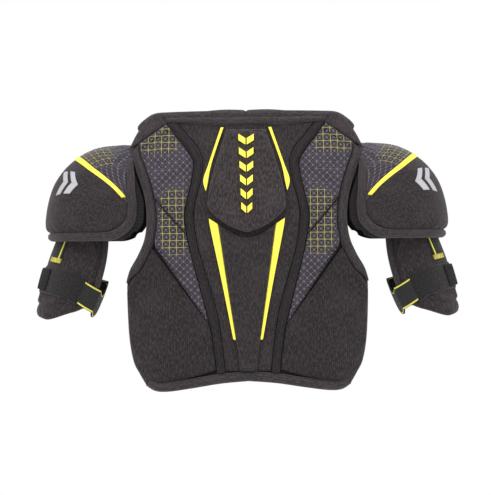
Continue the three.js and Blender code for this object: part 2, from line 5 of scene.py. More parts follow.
import bmesh
import bpy
from mathutils import Matrix, Vector
from mathutils.kdtree import KDTree
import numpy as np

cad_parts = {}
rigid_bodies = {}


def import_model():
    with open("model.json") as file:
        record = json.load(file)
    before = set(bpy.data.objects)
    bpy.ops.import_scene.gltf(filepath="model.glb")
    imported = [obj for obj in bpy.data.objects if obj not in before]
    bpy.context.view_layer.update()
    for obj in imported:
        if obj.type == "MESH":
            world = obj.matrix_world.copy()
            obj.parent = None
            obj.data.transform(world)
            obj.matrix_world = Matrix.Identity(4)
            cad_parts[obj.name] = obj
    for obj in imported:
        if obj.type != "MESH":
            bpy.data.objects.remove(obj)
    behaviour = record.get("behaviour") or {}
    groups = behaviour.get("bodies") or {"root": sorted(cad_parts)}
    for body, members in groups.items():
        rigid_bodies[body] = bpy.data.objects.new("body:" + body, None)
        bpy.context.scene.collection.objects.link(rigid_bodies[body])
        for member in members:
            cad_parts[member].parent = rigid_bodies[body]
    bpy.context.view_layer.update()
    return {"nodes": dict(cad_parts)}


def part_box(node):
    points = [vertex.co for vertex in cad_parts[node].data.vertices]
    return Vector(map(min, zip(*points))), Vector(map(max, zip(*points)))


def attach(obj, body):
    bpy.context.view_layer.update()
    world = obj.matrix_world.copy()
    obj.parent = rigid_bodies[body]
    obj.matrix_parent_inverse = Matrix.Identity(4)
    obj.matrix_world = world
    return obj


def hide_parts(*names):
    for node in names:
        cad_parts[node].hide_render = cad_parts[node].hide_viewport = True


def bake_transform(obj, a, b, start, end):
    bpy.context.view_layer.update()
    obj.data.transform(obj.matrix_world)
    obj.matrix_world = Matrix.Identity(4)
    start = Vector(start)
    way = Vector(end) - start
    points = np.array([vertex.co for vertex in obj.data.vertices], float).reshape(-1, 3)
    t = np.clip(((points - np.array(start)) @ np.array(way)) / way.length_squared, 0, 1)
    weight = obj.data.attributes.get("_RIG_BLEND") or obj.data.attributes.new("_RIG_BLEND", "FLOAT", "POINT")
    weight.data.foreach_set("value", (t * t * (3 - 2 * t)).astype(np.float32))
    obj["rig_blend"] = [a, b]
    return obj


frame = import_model()
mm = 0.001
up = Vector((0, 0, 1))


body = {"halfWidth": 145.5, "height": 317.5, "backDepth": 93, "chestDepth": 88, "chestHalfWidth": 102}
cap = {"reach": 91, "halfDepth": 80, "rise": 116, "centre": 150, "rim": -134, "fullness": 0.85, "end": 86,
       "lean": 18, "corner": 36}
arms = {"tilt": 16, "radius": 33, "halfDepth": 37, "top": -123, "length": 111, "topX": 183.4,
        "bend": 37.5, "sag": 8, "flare": 12}


def lerp(a, b, t):
    return a + (b - a) * t


def clamp(value, low=0.0, high=1.0):
    return max(low, min(high, value))


def smooth(value, low, high):
    t = clamp((value - low) / (high - low))
    return t * t * (3 - 2 * t)


def signedPower(value, exponent):
    return math.copysign(abs(value) ** exponent, value)


def flat(x, z):
    return Vector((x, z))


# A smooth curve through points, walked at an even pace from 0 to 1
def curveThrough(spots):
    last = len(spots) - 1

    def rough(t):
        p = last * t
        i = min(int(p), last - 1)
        a = spots[max(i - 1, 0)]
        b = spots[i]
        c = spots[i + 1]
        d = spots[min(i + 2, last)]
        w = p - i
        return 0.5 * ((2 * b) + (c - a) * w + (2 * a - 5 * b + 4 * c - d) * w ** 2
                      + (3 * b - a - 3 * c + d) * w ** 3)

    steps = 160
    table = [0.0]
    before = rough(0)
    for i in range(1, steps + 1):
        here = rough(i / steps)
        table.append(table[-1] + (here - before).length)
        before = here

    @lru_cache(maxsize=4096)
    def even(t):
        wanted = clamp(t) * table[-1]
        low, high = 0, steps
        while high - low > 1:
            middle = (low + high) // 2
            if table[middle] > wanted:
                high = middle
            else:
                low = middle
        span = table[high] - table[low]
        return rough((low + (wanted - table[low]) / span) / steps)

    return even


def outline(*points):  # shares of the back's half width and height
    return curveThrough([flat(x * body["halfWidth"], -z * body["height"]) for x, z in points])


def mirrored(edge):
    return lambda t: flat(-edge(t).x, edge(t).y)


def straight(a, b):
    return lambda t: a.lerp(b, t)


def shifted(edge, distance):  # to the left of its travel
    @lru_cache(maxsize=4096)
    def moved(t):
        ahead = (edge(min(t + 0.02, 1)) - edge(max(t - 0.02, 0))).normalized()
        return edge(t) + distance * flat(-ahead.y, ahead.x)

    return moved


backSweep = body["halfWidth"] * 1.086  # the half width at which the back's curve would face sideways


def backFace(x, z, above):
    drop = -z / body["height"]
    shoulders = 0.62 + 0.38 * smooth(drop, -0.06, 0.3)
    waist = 0.06 * math.sin(math.pi * clamp((drop - 0.45) / 0.6))
    depth = body["backDepth"] * (shoulders - waist)
    curl = math.sqrt(max(1 - (x / backSweep) ** 2, 0.01))
    slope = depth * x / (backSweep ** 2 * curl)
    return Vector((x, -depth * curl - above * math.hypot(1, slope), z))


chestRound = body["chestHalfWidth"] * 1.3


def chestFace(across, z, above):
    angle = across / chestRound * math.pi / 2
    drop = -z / body["height"]
    depth = body["chestDepth"] * (0.5 + 0.5 * smooth(drop, -0.05, 0.36)) + above
    x = (body["chestHalfWidth"] + above) * signedPower(math.sin(angle), 0.75)
    return Vector((x, depth * signedPower(math.cos(angle), 0.75), z))


def dome(longitude, latitude, inside):
    a, b = math.radians(longitude), math.radians(latitude)
    narrowing = signedPower(math.cos(b), cap["fullness"])
    x = cap["centre"] + (cap["reach"] - inside) * narrowing * signedPower(math.sin(a), cap["fullness"])
    z = cap["rim"] + (cap["rise"] - inside) * narrowing * signedPower(math.cos(a), cap["fullness"])
    lean = cap["lean"] * smooth(abs(latitude), 35, 86)
    return Vector((x - lean, (cap["halfDepth"] - inside) * signedPower(math.sin(b), cap["fullness"]), z))


def arm(angle, down, above):
    turn, tilt = math.radians(angle), math.radians(arms["tilt"])
    out = (arms["radius"] + above) * math.sin(turn)
    rear = (arms["halfDepth"] + above) * math.cos(turn)
    along = down * arms["length"]
    flare = arms["flare"] * math.sin(math.pi * clamp(down)) * max(math.sin(turn), 0) ** 2
    x = arms["topX"] + arms["bend"] * down ** 2 + out * math.cos(tilt) + flare
    return Vector((x, -rear, arms["top"] - along * math.cos(tilt) - arms["sag"] * down ** 2
                   + out * math.sin(tilt)))


def crest(x):
    return 20 - 37 * (max(abs(x) / body["halfWidth"] - 0.715, 0) / 0.261) ** 1.7


def neckEdge(share):
    x = share * body["halfWidth"]
    return flat(x, crest(x) - 7)


armholeEdge = outline((0.965, 0.093), (0.907, 0.15), (0.838, 0.25), (0.818, 0.334), (0.838, 0.415),
                      (0.897, 0.479), (0.969, 0.535), (1, 0.582))
sideEdge = outline((1, 0.586), (1, 0.65), (0.986, 0.787), (0.95, 0.88), (0.895, 0.928), (0.845, 0.966))
hemEdge = outline((0.845, 0.966), (0.768, 0.986), (0.66, 0.988), (0.467, 0.975), (0.227, 0.957), (0, 0.948))
tapeOuter = outline((0.62, 0.013), (0.529, 0.055), (0.436, 0.121), (0.43, 0.15), (0.46, 0.227),
                    (0.498, 0.299), (0.508, 0.346), (0.464, 0.46), (0.354, 0.658), (0.299, 0.769),
                    (0.254, 0.922))
tapeInner = outline((0.52, 0.018), (0.409, 0.068), (0.361, 0.12), (0.361, 0.155), (0.385, 0.214),
                    (0.426, 0.283), (0.437, 0.346), (0.399, 0.46), (0.278, 0.652), (0.23, 0.762),
                    (0.189, 0.92))
upperSpineSide = outline((0.015, 0.394), (0.16, 0.367), (0.29, 0.318), (0.32, 0.283), (0.275, 0.173),
                         (0.162, 0.006))
lowerSpineSide = outline((0.065, 0.913), (0.096, 0.797), (0.163, 0.589), (0.223, 0.392), (0.237, 0.362))


def carried(edge, start, share=0.035):  # the same edge, carried on to a point beyond its first end
    joins = edge(share)
    return lambda t: start.lerp(joins, t / share) if t < share else edge(t)


tapeTop = {"outer": flat(94.6, 6.6), "inner": flat(83.4, 8.2)}
tapeOuter = carried(tapeOuter, tapeTop["outer"])
tapeInner = carried(tapeInner, tapeTop["inner"])
outsideTape = carried(shifted(tapeOuter, 0.9), tapeTop["outer"] + flat(1, 0))
insideTape = carried(shifted(tapeInner, -0.9), tapeTop["inner"] - flat(1, 0))


# the binding's inner side, which runs out to a point where the armhole meets the side
def armholeInside(extra):
    return lambda t: shifted(armholeEdge, -11 * (1 - 0.8 * smooth(t, 0.86, 1)) - extra)(t)


besideArmhole = carried(armholeInside(0.4), flat(129.0, -17.2), 0.05)
aboveHem = shifted(hemEdge, -11.2)


def armholeAt(z):
    low, high = 0.0, 1.0
    for i in range(20):
        middle = (low + high) / 2
        if armholeEdge(middle).y > z:
            low = middle
        else:
            high = middle
    return armholeEdge(low).x


# where the cap's body side runs, seen from behind: beside the armhole, then round its lower corner
def capEdgeAt(z, reveal):
    depth = clamp((cap["rim"] + cap["corner"] - z) / cap["corner"])
    corner = cap["corner"] * (1 - math.sqrt(1 - depth ** 2))
    tuck = 8 * (1 - smooth(-z, 24, 44))
    return armholeAt(z) + 0.6 + 2 * smooth(-z, 84, 100) - tuck + reveal * smooth(-z, 36, 84) + corner


@lru_cache(maxsize=8192)
def capSpan(latitude, reveal):  # the first and last longitude of the cap at a latitude
    def within(longitude):
        spot = dome(longitude, latitude, 0)
        return spot.x >= capEdgeAt(spot.z, reveal)

    ends = []
    for outside in (-60.0, 90.0):
        inside = 62.0
        if within(outside):
            ends.append(outside)
            continue
        for i in range(16):
            middle = (inside + outside) / 2
            if within(middle):
                inside = middle
            else:
                outside = middle
        ends.append(inside)
    return ends


def capLatitude(v, reveal):
    end = cap["end"] - 0.4 * reveal
    return lerp(-end, end, v)


def hood(u, v, inside, reveal=0.0):
    latitude = capLatitude(v, reveal)
    first, last = capSpan(latitude, reveal)
    return dome(lerp(first, last, u), latitude, inside)


def shade(code):  # a hex sRGB colour as linear RGBA
    parts = [int(code[i:i + 2], 16) / 255 for i in (1, 3, 5)]
    return (*[p / 12.92 if p <= 0.04045 else ((p + 0.055) / 1.055) ** 2.4 for p in parts], 1)


def add(tree, kind, settings=None, links=None):
    made = tree.nodes.new("ShaderNode" + kind)
    for name, value in (settings or {}).items():
        setattr(made, name, value)
    for key, value in (links or {}).items():
        if isinstance(value, bpy.types.NodeSocket):
            tree.links.new(value, made.inputs[key])
        else:
            made.inputs[key].default_value = value
    return made.outputs[0]


def maths(tree, operation, *values):
    return add(tree, "Math", {"operation": operation}, dict(enumerate(values)))


def ramp(tree, value, low, high, outLow=0.0, outHigh=1.0):
    links = {0: value, 1: low, 2: high, 3: outLow, 4: outHigh}
    return add(tree, "MapRange", {"interpolation_type": "SMOOTHSTEP"}, links)


def mixed(tree, factor, a, b):
    return add(tree, "MixRGB", {"blend_type": "MIX"}, {0: factor, 1: a, 2: b})


def startMaterial(name, roughness, sheen, sheenTint):
    material = bpy.data.materials.new(name)
    material.use_nodes = True
    tree = material.node_tree
    shader = tree.nodes["Principled BSDF"]
    shader.inputs["Roughness"].default_value = roughness
    shader.inputs["Sheen Weight"].default_value = sheen
    shader.inputs["Sheen Roughness"].default_value = 0.45
    shader.inputs["Sheen Tint"].default_value = shade(sheenTint)
    shader.inputs["Specular IOR Level"].default_value = 0.3
    return material, tree, shader


def onCloth(tree, scale=1000.0):  # millimetres along the cloth, from the piece's own UV map
    spot = add(tree, "UVMap", {"uv_map": "cloth"})
    return add(tree, "VectorMath", {"operation": "SCALE"}, {0: spot, 3: scale})


def acrossAndAlong(tree, spot):
    parts = tree.nodes.new("ShaderNodeSeparateXYZ")
    tree.links.new(spot, parts.inputs[0])
    return parts.outputs


def noise(tree, spot, scale, detail, roughness=0.5):
    links = {"Vector": spot, "Scale": scale, "Detail": detail, "Roughness": roughness}
    return add(tree, "TexNoise", {"noise_dimensions": "2D"}, links)


def paint(tree, shader, colour):
    tree.links.new(colour, shader.inputs["Base Color"])


def feel(tree, shader, height, depth, distance=0.4):
    bump = add(tree, "Bump", {}, {"Strength": depth, "Distance": distance * mm, "Height": height})
    tree.links.new(bump, shader.inputs["Normal"])


# Knitted polyester: fine ribs with lighter flecks of yarn, which give the cloth its soft charcoal bloom; the
# flecks are dimmed between the ribs as painted rib shade
def knitFabric(name, base, fleck, ribs=1.5, rise=1.6, roughness=0.9, sheen=0.25, wear=0.0):
    material, tree, shader = startMaterial(name, roughness, sheen, "#b9b2b8")
    spot = onCloth(tree)
    parts = acrossAndAlong(tree, spot)
    across = maths(tree, "SINE", maths(tree, "MULTIPLY", parts[0], 2 * math.pi / ribs))
    climb = maths(tree, "SINE", maths(tree, "MULTIPLY", parts[1], 2 * math.pi / rise))
    loops = maths(tree, "MULTIPLY", maths(tree, "ADD", across, 1.0), maths(tree, "ADD", climb, 1.4))
    # flecks run along the ribs
    drawn = add(tree, "VectorMath", {"operation": "MULTIPLY"}, {0: spot, 1: (1.0, 0.35, 1.0)})
    yarn = noise(tree, drawn, 0.55, 3.0, 0.75)
    patches = noise(tree, spot, 0.03, 3.0)
    # painted shade: the fleck mix is halved in the valleys between the ribs, where the rib relief is low
    fleckAndPaintedLight = maths(tree, "MULTIPLY", ramp(tree, yarn, 0.4, 0.66), ramp(tree, loops, 0.2, 3.6, 0.5, 1.0))
    cloth = mixed(tree, fleckAndPaintedLight, shade(base), shade(fleck))
    faded = mixed(tree, ramp(tree, patches, 0.45, 0.75, 0.0, 0.22 + wear), cloth, shade(fleck))
    paint(tree, shader, faded)
    feel(tree, shader, maths(tree, "ADD", maths(tree, "MULTIPLY", loops, 0.22),
                             maths(tree, "MULTIPLY", yarn, 0.8)), 0.75)
    return material


# Printed knit: a bright square grid that breaks up into a lattice of fine diagonals and dots
def gridFabric(name, spec):
    material, tree, shader = startMaterial(name, 0.82, 0.3, "#c8c4d2")
    spot = onCloth(tree)
    parts = acrossAndAlong(tree, spot)
    x = maths(tree, "DIVIDE", parts[0], spec["pitch"])
    y = maths(tree, "DIVIDE", parts[1], spec["pitch"])

    def wave(value):  # 0 in the middle of a cell and 1 on its edge
        return maths(tree, "MULTIPLY",
                     maths(tree, "ABSOLUTE", maths(tree, "SUBTRACT", maths(tree, "FRACT", value), 0.5)), 2.0)

    fx, fy = wave(x), wave(y)
    furthest = maths(tree, "MAXIMUM", fx, fy)
    lines = ramp(tree, furthest, 0.88, 0.97)
    hollow = maths(tree, "MULTIPLY", ramp(tree, furthest, 0.5, 0.6), ramp(tree, furthest, 0.84, 0.74))
    rising = wave(maths(tree, "ADD", maths(tree, "ADD", x, y), 0.5))
    falling = wave(maths(tree, "ADD", maths(tree, "SUBTRACT", x, y), 0.5))
    diagonals = maths(tree, "MAXIMUM", ramp(tree, rising, 0.22, 0.08), ramp(tree, falling, 0.22, 0.08))
    dots = maths(tree, "MULTIPLY", ramp(tree, rising, 0.34, 0.1), ramp(tree, falling, 0.34, 0.1))
    bright = None
    for cx, cy, rx, ry in spec["bright"]:
        dx = maths(tree, "DIVIDE", maths(tree, "SUBTRACT", parts[0], cx), rx)
        dy = maths(tree, "DIVIDE", maths(tree, "SUBTRACT", parts[1], cy), ry)
        away = maths(tree, "ADD", maths(tree, "POWER", maths(tree, "ABSOLUTE", dx), 3.0),
                     maths(tree, "POWER", maths(tree, "ABSOLUTE", dy), 3.0))
        here = ramp(tree, away, 1.3, 0.5)
        bright = here if bright is None else maths(tree, "MAXIMUM", bright, here)
    drift = noise(tree, spot, 0.028, 1.0)
    grey = ramp(tree, drift, 0.42, 0.62, 0.0, 0.6)
    yarn = noise(tree, spot, 1.1, 2.0)
    ground = mixed(tree, ramp(tree, yarn, 0.35, 0.75), shade(spec["ground"]), shade(spec["fleck"]))
    opened = maths(tree, "MULTIPLY", hollow,
                   maths(tree, "MAXIMUM", bright, maths(tree, "MULTIPLY", grey, 0.5)))
    darkened = mixed(tree, maths(tree, "MULTIPLY", opened, 0.7), ground, shade(spec["hollow"]))
    fine = mixed(tree, maths(tree, "MULTIPLY", diagonals, 0.42), darkened, shade(spec["thread"]))
    dotted = mixed(tree, maths(tree, "MULTIPLY", dots, 0.6), fine, shade(spec["dot"]))
    greyLines = mixed(tree, maths(tree, "MULTIPLY", lines, grey), dotted, shade(spec["thread"]))
    final = mixed(tree, maths(tree, "MULTIPLY", lines, bright), greyLines, shade(spec["line"]))
    paint(tree, shader, final)
    weave = maths(tree, "ADD", maths(tree, "MULTIPLY", yarn, 0.7), maths(tree, "MULTIPLY", lines, 0.25))
    feel(tree, shader, maths(tree, "SUBTRACT", weave, maths(tree, "MULTIPLY", hollow, 0.3)), 0.6)
    return material


# Woven elastic webbing: raised ribs across the band, with a coloured yarn along each edge; the ribs and cords
# carry painted highlight on top and painted shade between
def webbing(name, base, fleck, halfBand, edgeColour=None):
    material, tree, shader = startMaterial(name, 0.8, 0.2, "#b0b0b0")
    spot = onCloth(tree)
    parts = acrossAndAlong(tree, spot)
    ribs = maths(tree, "SINE", maths(tree, "MULTIPLY", parts[1], 2 * math.pi / 1.9))
    cords = maths(tree, "SINE", maths(tree, "MULTIPLY", parts[0], 2 * math.pi / 1.3))
    yarn = noise(tree, spot, 1.3, 2.0)
    height = maths(tree, "ADD", maths(tree, "MULTIPLY", ribs, 0.6), maths(tree, "MULTIPLY", cords, 0.3))
    # painted light and shade: lighter where the ribs and cords stand up, mixed with yarn flecks
    fleckAndPaintedLight = ramp(tree, maths(tree, "ADD", height, maths(tree, "MULTIPLY", yarn, 1.2)), -0.2, 1.6)
    cloth = mixed(tree, fleckAndPaintedLight, shade(base), shade(fleck))
    if edgeColour:
        side = maths(tree, "ABSOLUTE", parts[0])
        inner, outer = halfBand - 1.9, halfBand - 0.5
        line = maths(tree, "MULTIPLY", ramp(tree, side, inner - 0.3, inner + 0.3),
                     ramp(tree, side, outer + 0.4, outer - 0.2))
        cloth = mixed(tree, line, cloth, shade(edgeColour))
    paint(tree, shader, cloth)
    feel(tree, shader, height, 0.9, 0.5)
    return material


# Loop pile and hook tape: a fuzz of tiny nylon loops, or rows of hooks, with painted highlight specks where
# the loops stand up
def pile(name, base, fleck, grain, rows=0.0):
    material, tree, shader = startMaterial(name, 0.95, 0.55 if not rows else 0.1, "#a8a4a8")
    spot = onCloth(tree)
    fuzz = noise(tree, spot, grain, 6.0, 0.8)
    tufts = add(tree, "TexVoronoi", {"voronoi_dimensions": "2D"}, {"Vector": spot, "Scale": grain * 0.8})
    # painted highlight: the colour turns lighter where the fuzz and tufts stand highest
    fleckAndPaintedLight = ramp(tree, maths(tree, "ADD", fuzz, maths(tree, "MULTIPLY", tufts, 0.35)), 0.45, 1.0)
    paint(tree, shader, mixed(tree, fleckAndPaintedLight, shade(base), shade(fleck)))
    height = maths(tree, "ADD", fuzz, maths(tree, "MULTIPLY", tufts, 0.6))
    if rows:
        parts = acrossAndAlong(tree, spot)
        height = maths(tree, "ADD", height,
                       maths(tree, "SINE", maths(tree, "MULTIPLY", parts[1], 2 * math.pi / rows)))
    feel(tree, shader, height, 1.0, 0.9)
    return material


# Heat-pressed polyurethane film: smooth, flat colour with a faint orange-peel and a soft gloss
def film(name, colour, worn):
    material, tree, shader = startMaterial(name, 0.5, 0.0, "#ffffff")
    spot = onCloth(tree)
    scuff = noise(tree, spot, 0.22, 5.0)
    paint(tree, shader, mixed(tree, ramp(tree, scuff, 0.55, 0.8, 0.0, 0.35), shade(colour), shade(worn)))
    feel(tree, shader, add(tree, "TexNoise", {}, {"Vector": spot, "Scale": 1.6}), 0.25, 0.2)
    return material


# Spacer-mesh lining: rows of small open holes with painted shade inside them, which read as dark dots on a
# near-black cloth
def lining(name, base, fleck):
    material, tree, shader = startMaterial(name, 0.95, 0.12, "#8a8488")
    spot = onCloth(tree)
    holes = add(tree, "TexVoronoi", {"voronoi_dimensions": "2D"},
                {"Vector": spot, "Scale": 0.36, "Randomness": 0.15})
    rim = ramp(tree, holes, 0.16, 0.4)
    yarn = noise(tree, spot, 1.2, 2.0)
    # painted shade: the holes keep the dark base colour, while the rims around them take the lighter fleck
    fleckAndPaintedLight = maths(tree, "MULTIPLY", rim, ramp(tree, yarn, 0.3, 0.8, 0.3, 1.0))
    paint(tree, shader, mixed(tree, fleckAndPaintedLight, shade(base), shade(fleck)))
    feel(tree, shader, maths(tree, "ADD", rim, maths(tree, "MULTIPLY", yarn, 0.3)), 0.8, 0.6)
    return material


# Moulded polyethylene inserts: a dull sheen over fine mould grain
def mouldedPlastic(name, colour):
    material, tree, shader = startMaterial(name, 0.42, 0.0, "#ffffff")
    spot = tree.nodes.new("ShaderNodeTexCoord").outputs["Object"]
    grain = add(tree, "TexNoise", {}, {"Vector": spot, "Scale": 900.0, "Detail": 2.0})
    paint(tree, shader, mixed(tree, ramp(tree, grain, 0.4, 0.7), shade(colour), shade("#34353a")))
    feel(tree, shader, grain, 0.3, 0.2)
    return material


gridSpec = {"pitch": 8.4, "ground": "#242025", "fleck": "#3f3942", "hollow": "#151215", "thread": "#6b6570",
            "dot": "#8f8992", "line": "#a39c52", "bright": [(104, -12, 24, 20), (86, -112, 19, 40)]}
capGridSpec = dict(gridSpec, bright=[(-22, 22, 40, 22), (22, 22, 40, 22)])

finishes = {
    "knit": knitFabric("ribbedPolyesterKnit", "#1f1b1c", "#423b3d"),
    "spineKnit": knitFabric("brushedSpineKnit", "#221d1e", "#4d4547", ribs=1.8, rise=2.2),
    "kidneyKnit": knitFabric("fineRibKnit", "#191516", "#3f383a", ribs=2.4, rise=1.3),
    "binding": knitFabric("foldedBindingTape", "#262122", "#4a4345", ribs=1.2, rise=1.2, sheen=0.35,
                          wear=0.1),
    "tape": knitFabric("coverStitchTape", "#1b1718", "#352f30", ribs=2.3, rise=1.1),
    "grid": gridFabric("printedGridKnit", gridSpec),
    "capGrid": gridFabric("printedGridKnitCap", capGridSpec),
    "lining": lining("spacerMeshLining", "#0f0d0e", "#2b2829"),
    "film": film("yellowPressedFilm", "#fff153", "#efe048"),
    "greyFilm": film("greyPressedFilm", "#b2b2b6", "#a4a4a8"),
    "plastic": mouldedPlastic("mouldedPolyethylene", "#232427"),
    "elastic": webbing("elasticWebbing", "#151515", "#363534", 12.5, "#efe55c"),
    "plainElastic": webbing("plainElasticWebbing", "#141414", "#333231", 6.5, "#efe55c"),
    "sideElastic": webbing("wideElasticWebbing", "#161616", "#373635", 15),
    "pile": pile("nylonLoopPile", "#0b0a0a", "#2f2c2d", 0.75),
    "hook": pile("nylonHookTape", "#0c0b0c", "#262526", 1.0, rows=1.6),
    "thread": knitFabric("bondedNylonThread", "#0a0809", "#171415", ribs=0.7, rise=0.7, roughness=0.6),
    "yellowThread": knitFabric("yellowNylonThread", "#a89f3e", "#e9e05e", ribs=0.7, rise=0.7, roughness=0.6),
}
print("materials:", len(finishes))


def spread(t, crowd):  # crowds a grid's lines towards its two ends
    return t - crowd * math.sin(2 * math.pi * t) / (2 * math.pi)


def finish(name, bm, rides, finishName, stands=(), flip=False, levels=0):
    if flip:
        bmesh.ops.scale(bm, vec=(-1, 1, 1), verts=bm.verts[:])
        bmesh.ops.reverse_faces(bm, faces=bm.faces[:])
    mesh = bpy.data.meshes.new(name)
    bm.to_mesh(mesh)
    bm.free()
    mesh.materials.append(finishes[finishName])
    mesh.polygons.foreach_set("use_smooth", [True] * len(mesh.polygons))
    piece = bpy.data.objects.new(name, mesh)
    bpy.context.scene.collection.objects.link(piece)
    if isinstance(rides, str):
        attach(piece, rides)
    else:
        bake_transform(piece, rides[0], rides[1], start=rides[2], end=rides[3])
    if stands:
        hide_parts(*stands)
    if levels:
        soft = piece.modifiers.new("soften", "SUBSURF")
        soft.levels = levels
        soft.render_levels = levels
    return piece


# SIDE in a name becomes right or left
def pair(name, make, rides, finishName, stands=None, levels=0):
    for side in ("right", "left"):
        replaced = [stands.replace("SIDE", side)] if stands else []
        home = rides.replace("SIDE", side)
        piece = finish(name.replace("SIDE", side), make(), home, finishName, replaced,
                       flip=side == "left", levels=levels)


# A closed layer: a grid of u across and v along, thickened from w 0 to w 1, with each vertex moved by place
def layer(place, across, along, cloth, crowd=(0.7, 0.7)):
    bm = bmesh.new()
    bmesh.ops.create_grid(bm, x_segments=across, y_segments=along, size=0.5)
    us = bm.verts.layers.float.new("across")
    vs = bm.verts.layers.float.new("along")
    ws = bm.verts.layers.float.new("through")
    for vert in bm.verts:
        vert[us] = spread(clamp(vert.co.x + 0.5), crowd[0])
        vert[vs] = spread(clamp(vert.co.y + 0.5), crowd[1])
    everything = bm.verts[:] + bm.edges[:] + bm.faces[:]
    made = bmesh.ops.extrude_face_region(bm, geom=everything, use_keep_orig=True)
    for item in made["geom"]:
        if isinstance(item, bmesh.types.BMVert):
            item[ws] = 1.0
    for vert in bm.verts:
        vert.co = place(vert[us], vert[vs], vert[ws]) * mm
    bmesh.ops.recalc_face_normals(bm, faces=bm.faces[:])
    uv = bm.loops.layers.uv.new("cloth")
    for face in bm.faces:
        for loop in face.loops:
            loop[uv].uv = Vector(cloth(loop.vert[us], loop.vert[vs])) * mm
    return bm


def roundEdge(distance, radius):
    t = clamp(distance / radius)
    return math.sqrt(max(1 - (1 - t) ** 2, 0))


class clothRegion:  # the cloth between four edges, laid on a surface
    def __init__(self, surface, left, right, bottom=None, top=None):
        self.surface = surface
        self.left = lru_cache(maxsize=2048)(left)
        self.right = lru_cache(maxsize=2048)(right)
        self.bottom = lru_cache(maxsize=2048)(self.between(bottom, left(0), right(0)))
        self.top = lru_cache(maxsize=2048)(self.between(top, left(1), right(1)))

    @staticmethod
    def between(edge, first, last):  # bends an edge's two ends onto the corners
        if edge is None:
            return straight(first, last)
        starts, ends = first - edge(0), last - edge(1)
        return lambda t: edge(t) + (1 - t) ** 4 * starts + t ** 4 * ends

    def flatSpot(self, u, v):
        corners = (((1 - u) * (1 - v), self.left(0)), (u * (1 - v), self.right(0)),
                   ((1 - u) * v, self.left(1)), (u * v, self.right(1)))
        spot = (1 - v) * self.bottom(u) + v * self.top(u) + (1 - u) * self.left(v) + u * self.right(v)
        for share, corner in corners:
            spot = spot - share * corner
        return spot

    def edgeDistance(self, u, v):
        wide = (self.right(v) - self.left(v)).length
        tall = (self.top(u) - self.bottom(u)).length
        return min(u, 1 - u) * wide, min(v, 1 - v) * tall

    def at(self, u, v, above):
        spot = self.flatSpot(u, v)
        return self.surface(spot.x, spot.y, above)

    def padded(self, low, high, radius=5.0, rim=0.3):
        def height(u, v):
            side, end = self.edgeDistance(u, v)
            return low + (high - low) * (rim + (1 - rim) * roundEdge(side, radius) * roundEdge(end, radius))

        def place(u, v, w):
            return self.at(u, v, height(u, v) if w > 0.5 else low)

        self.height = height
        return place


swell = {"frames": 20, "pressure": 3.2, "slack": -0.035}


def inflate(piece, held, most, pressure=None):
    mesh = piece.data
    group = piece.vertex_groups.new(name="held")
    group.add(held, 1.0, "REPLACE")
    before = [v.co.copy() for v in mesh.vertices]
    home = piece.parent
    cloth = piece.modifiers.new("cloth", "CLOTH")
    settings = cloth.settings
    settings.quality = 4
    settings.mass = 0.2
    settings.tension_stiffness = 12
    settings.compression_stiffness = 12
    settings.bending_stiffness = 0.6
    settings.use_pressure = True
    settings.uniform_pressure_force = pressure or swell["pressure"]
    settings.shrink_min = swell["slack"]
    settings.vertex_group_mass = "held"
    settings.effector_weights.gravity = 0
    scene = bpy.context.scene
    for step in range(1, swell["frames"] + 1):
        scene.frame_set(step)
    bulged = piece.evaluated_get(bpy.context.evaluated_depsgraph_get()).data
    for vert, start, moved in zip(mesh.vertices, before, bulged.vertices):
        shift = moved.co - start
        if shift.length > most * mm:
            shift = shift.normalized() * most * mm
        vert.co = start + shift
    piece.modifiers.remove(cloth)
    piece.vertex_groups.clear()
    scene.frame_set(1)
    piece.parent = home


# Stitches along a line on a surface: each one a short oval of thread pressed half into the cloth
def stitchRow(bm, path, ways, pitch=3.4, length=2.3, thick=0.75, start=0.0, end=1.0):
    steps = 120
    spots = [path(lerp(start, end, i / steps)) for i in range(steps + 1)]
    walked = [0.0]
    for a, b in zip(spots, spots[1:]):
        walked.append(walked[-1] + (b - a).length)
    count = max(int(walked[-1] / pitch), 1)
    place = 0
    for n in range(count):
        wanted = (n + 0.5) * walked[-1] / count
        while walked[place + 1] < wanted:
            place += 1
        share = (wanted - walked[place]) / max(walked[place + 1] - walked[place], 1e-6)
        spot = spots[place].lerp(spots[place + 1], share)
        ahead = (spots[place + 1] - spots[place]).normalized()
        outward = ways(spot)
        side = outward.cross(ahead).normalized()
        facing = Matrix((ahead, side, ahead.cross(side))).transposed().to_4x4()
        size = Matrix.Diagonal((length / 2 * mm, thick / 2 * mm, thick / 2 * mm, 1))
        bmesh.ops.create_uvsphere(bm, u_segments=6, v_segments=4, radius=1,
                                  matrix=Matrix.Translation(spot * mm) @ facing @ size)


def sewn(name, rows, rides, both=True, colour="thread", slot="seam_tape", **sizes):
    for side in ("right", "left") if both else ("",):
        bm = bmesh.new()
        for path, ways in rows:
            stitchRow(bm, path, ways, **sizes)
        uv = bm.loops.layers.uv.new("cloth")
        for face in bm.faces:
            for loop in face.loops:
                loop[uv].uv = loop.vert.co.xz
        suffix = "_" + side if side else ""
        home = rides + suffix if rides in ("cap", "biceps", "side_strap") else rides
        finish(name + suffix, bm, home, colour, flip=side == "left")


def backwards(spot):  # the way out of the back's surface
    return Vector((spot.x / backSweep ** 2, spot.y / body["backDepth"] ** 2, 0)).normalized()


def capOutward(spot):
    sizes = cap["reach"] ** 2, cap["halfDepth"] ** 2, cap["rise"] ** 2
    return Vector(((spot.x - cap["centre"]) / sizes[0], spot.y / sizes[1],
                   (spot.z - cap["rim"]) / sizes[2])).normalized()


def heldIn(bm, held):  # which vertices stay where they are sewn
    us, vs, ws = (bm.verts.layers.float[name] for name in ("across", "along", "through"))
    return [v.index for v in bm.verts if v[ws] < 0.5 or held(v[us], v[vs])]


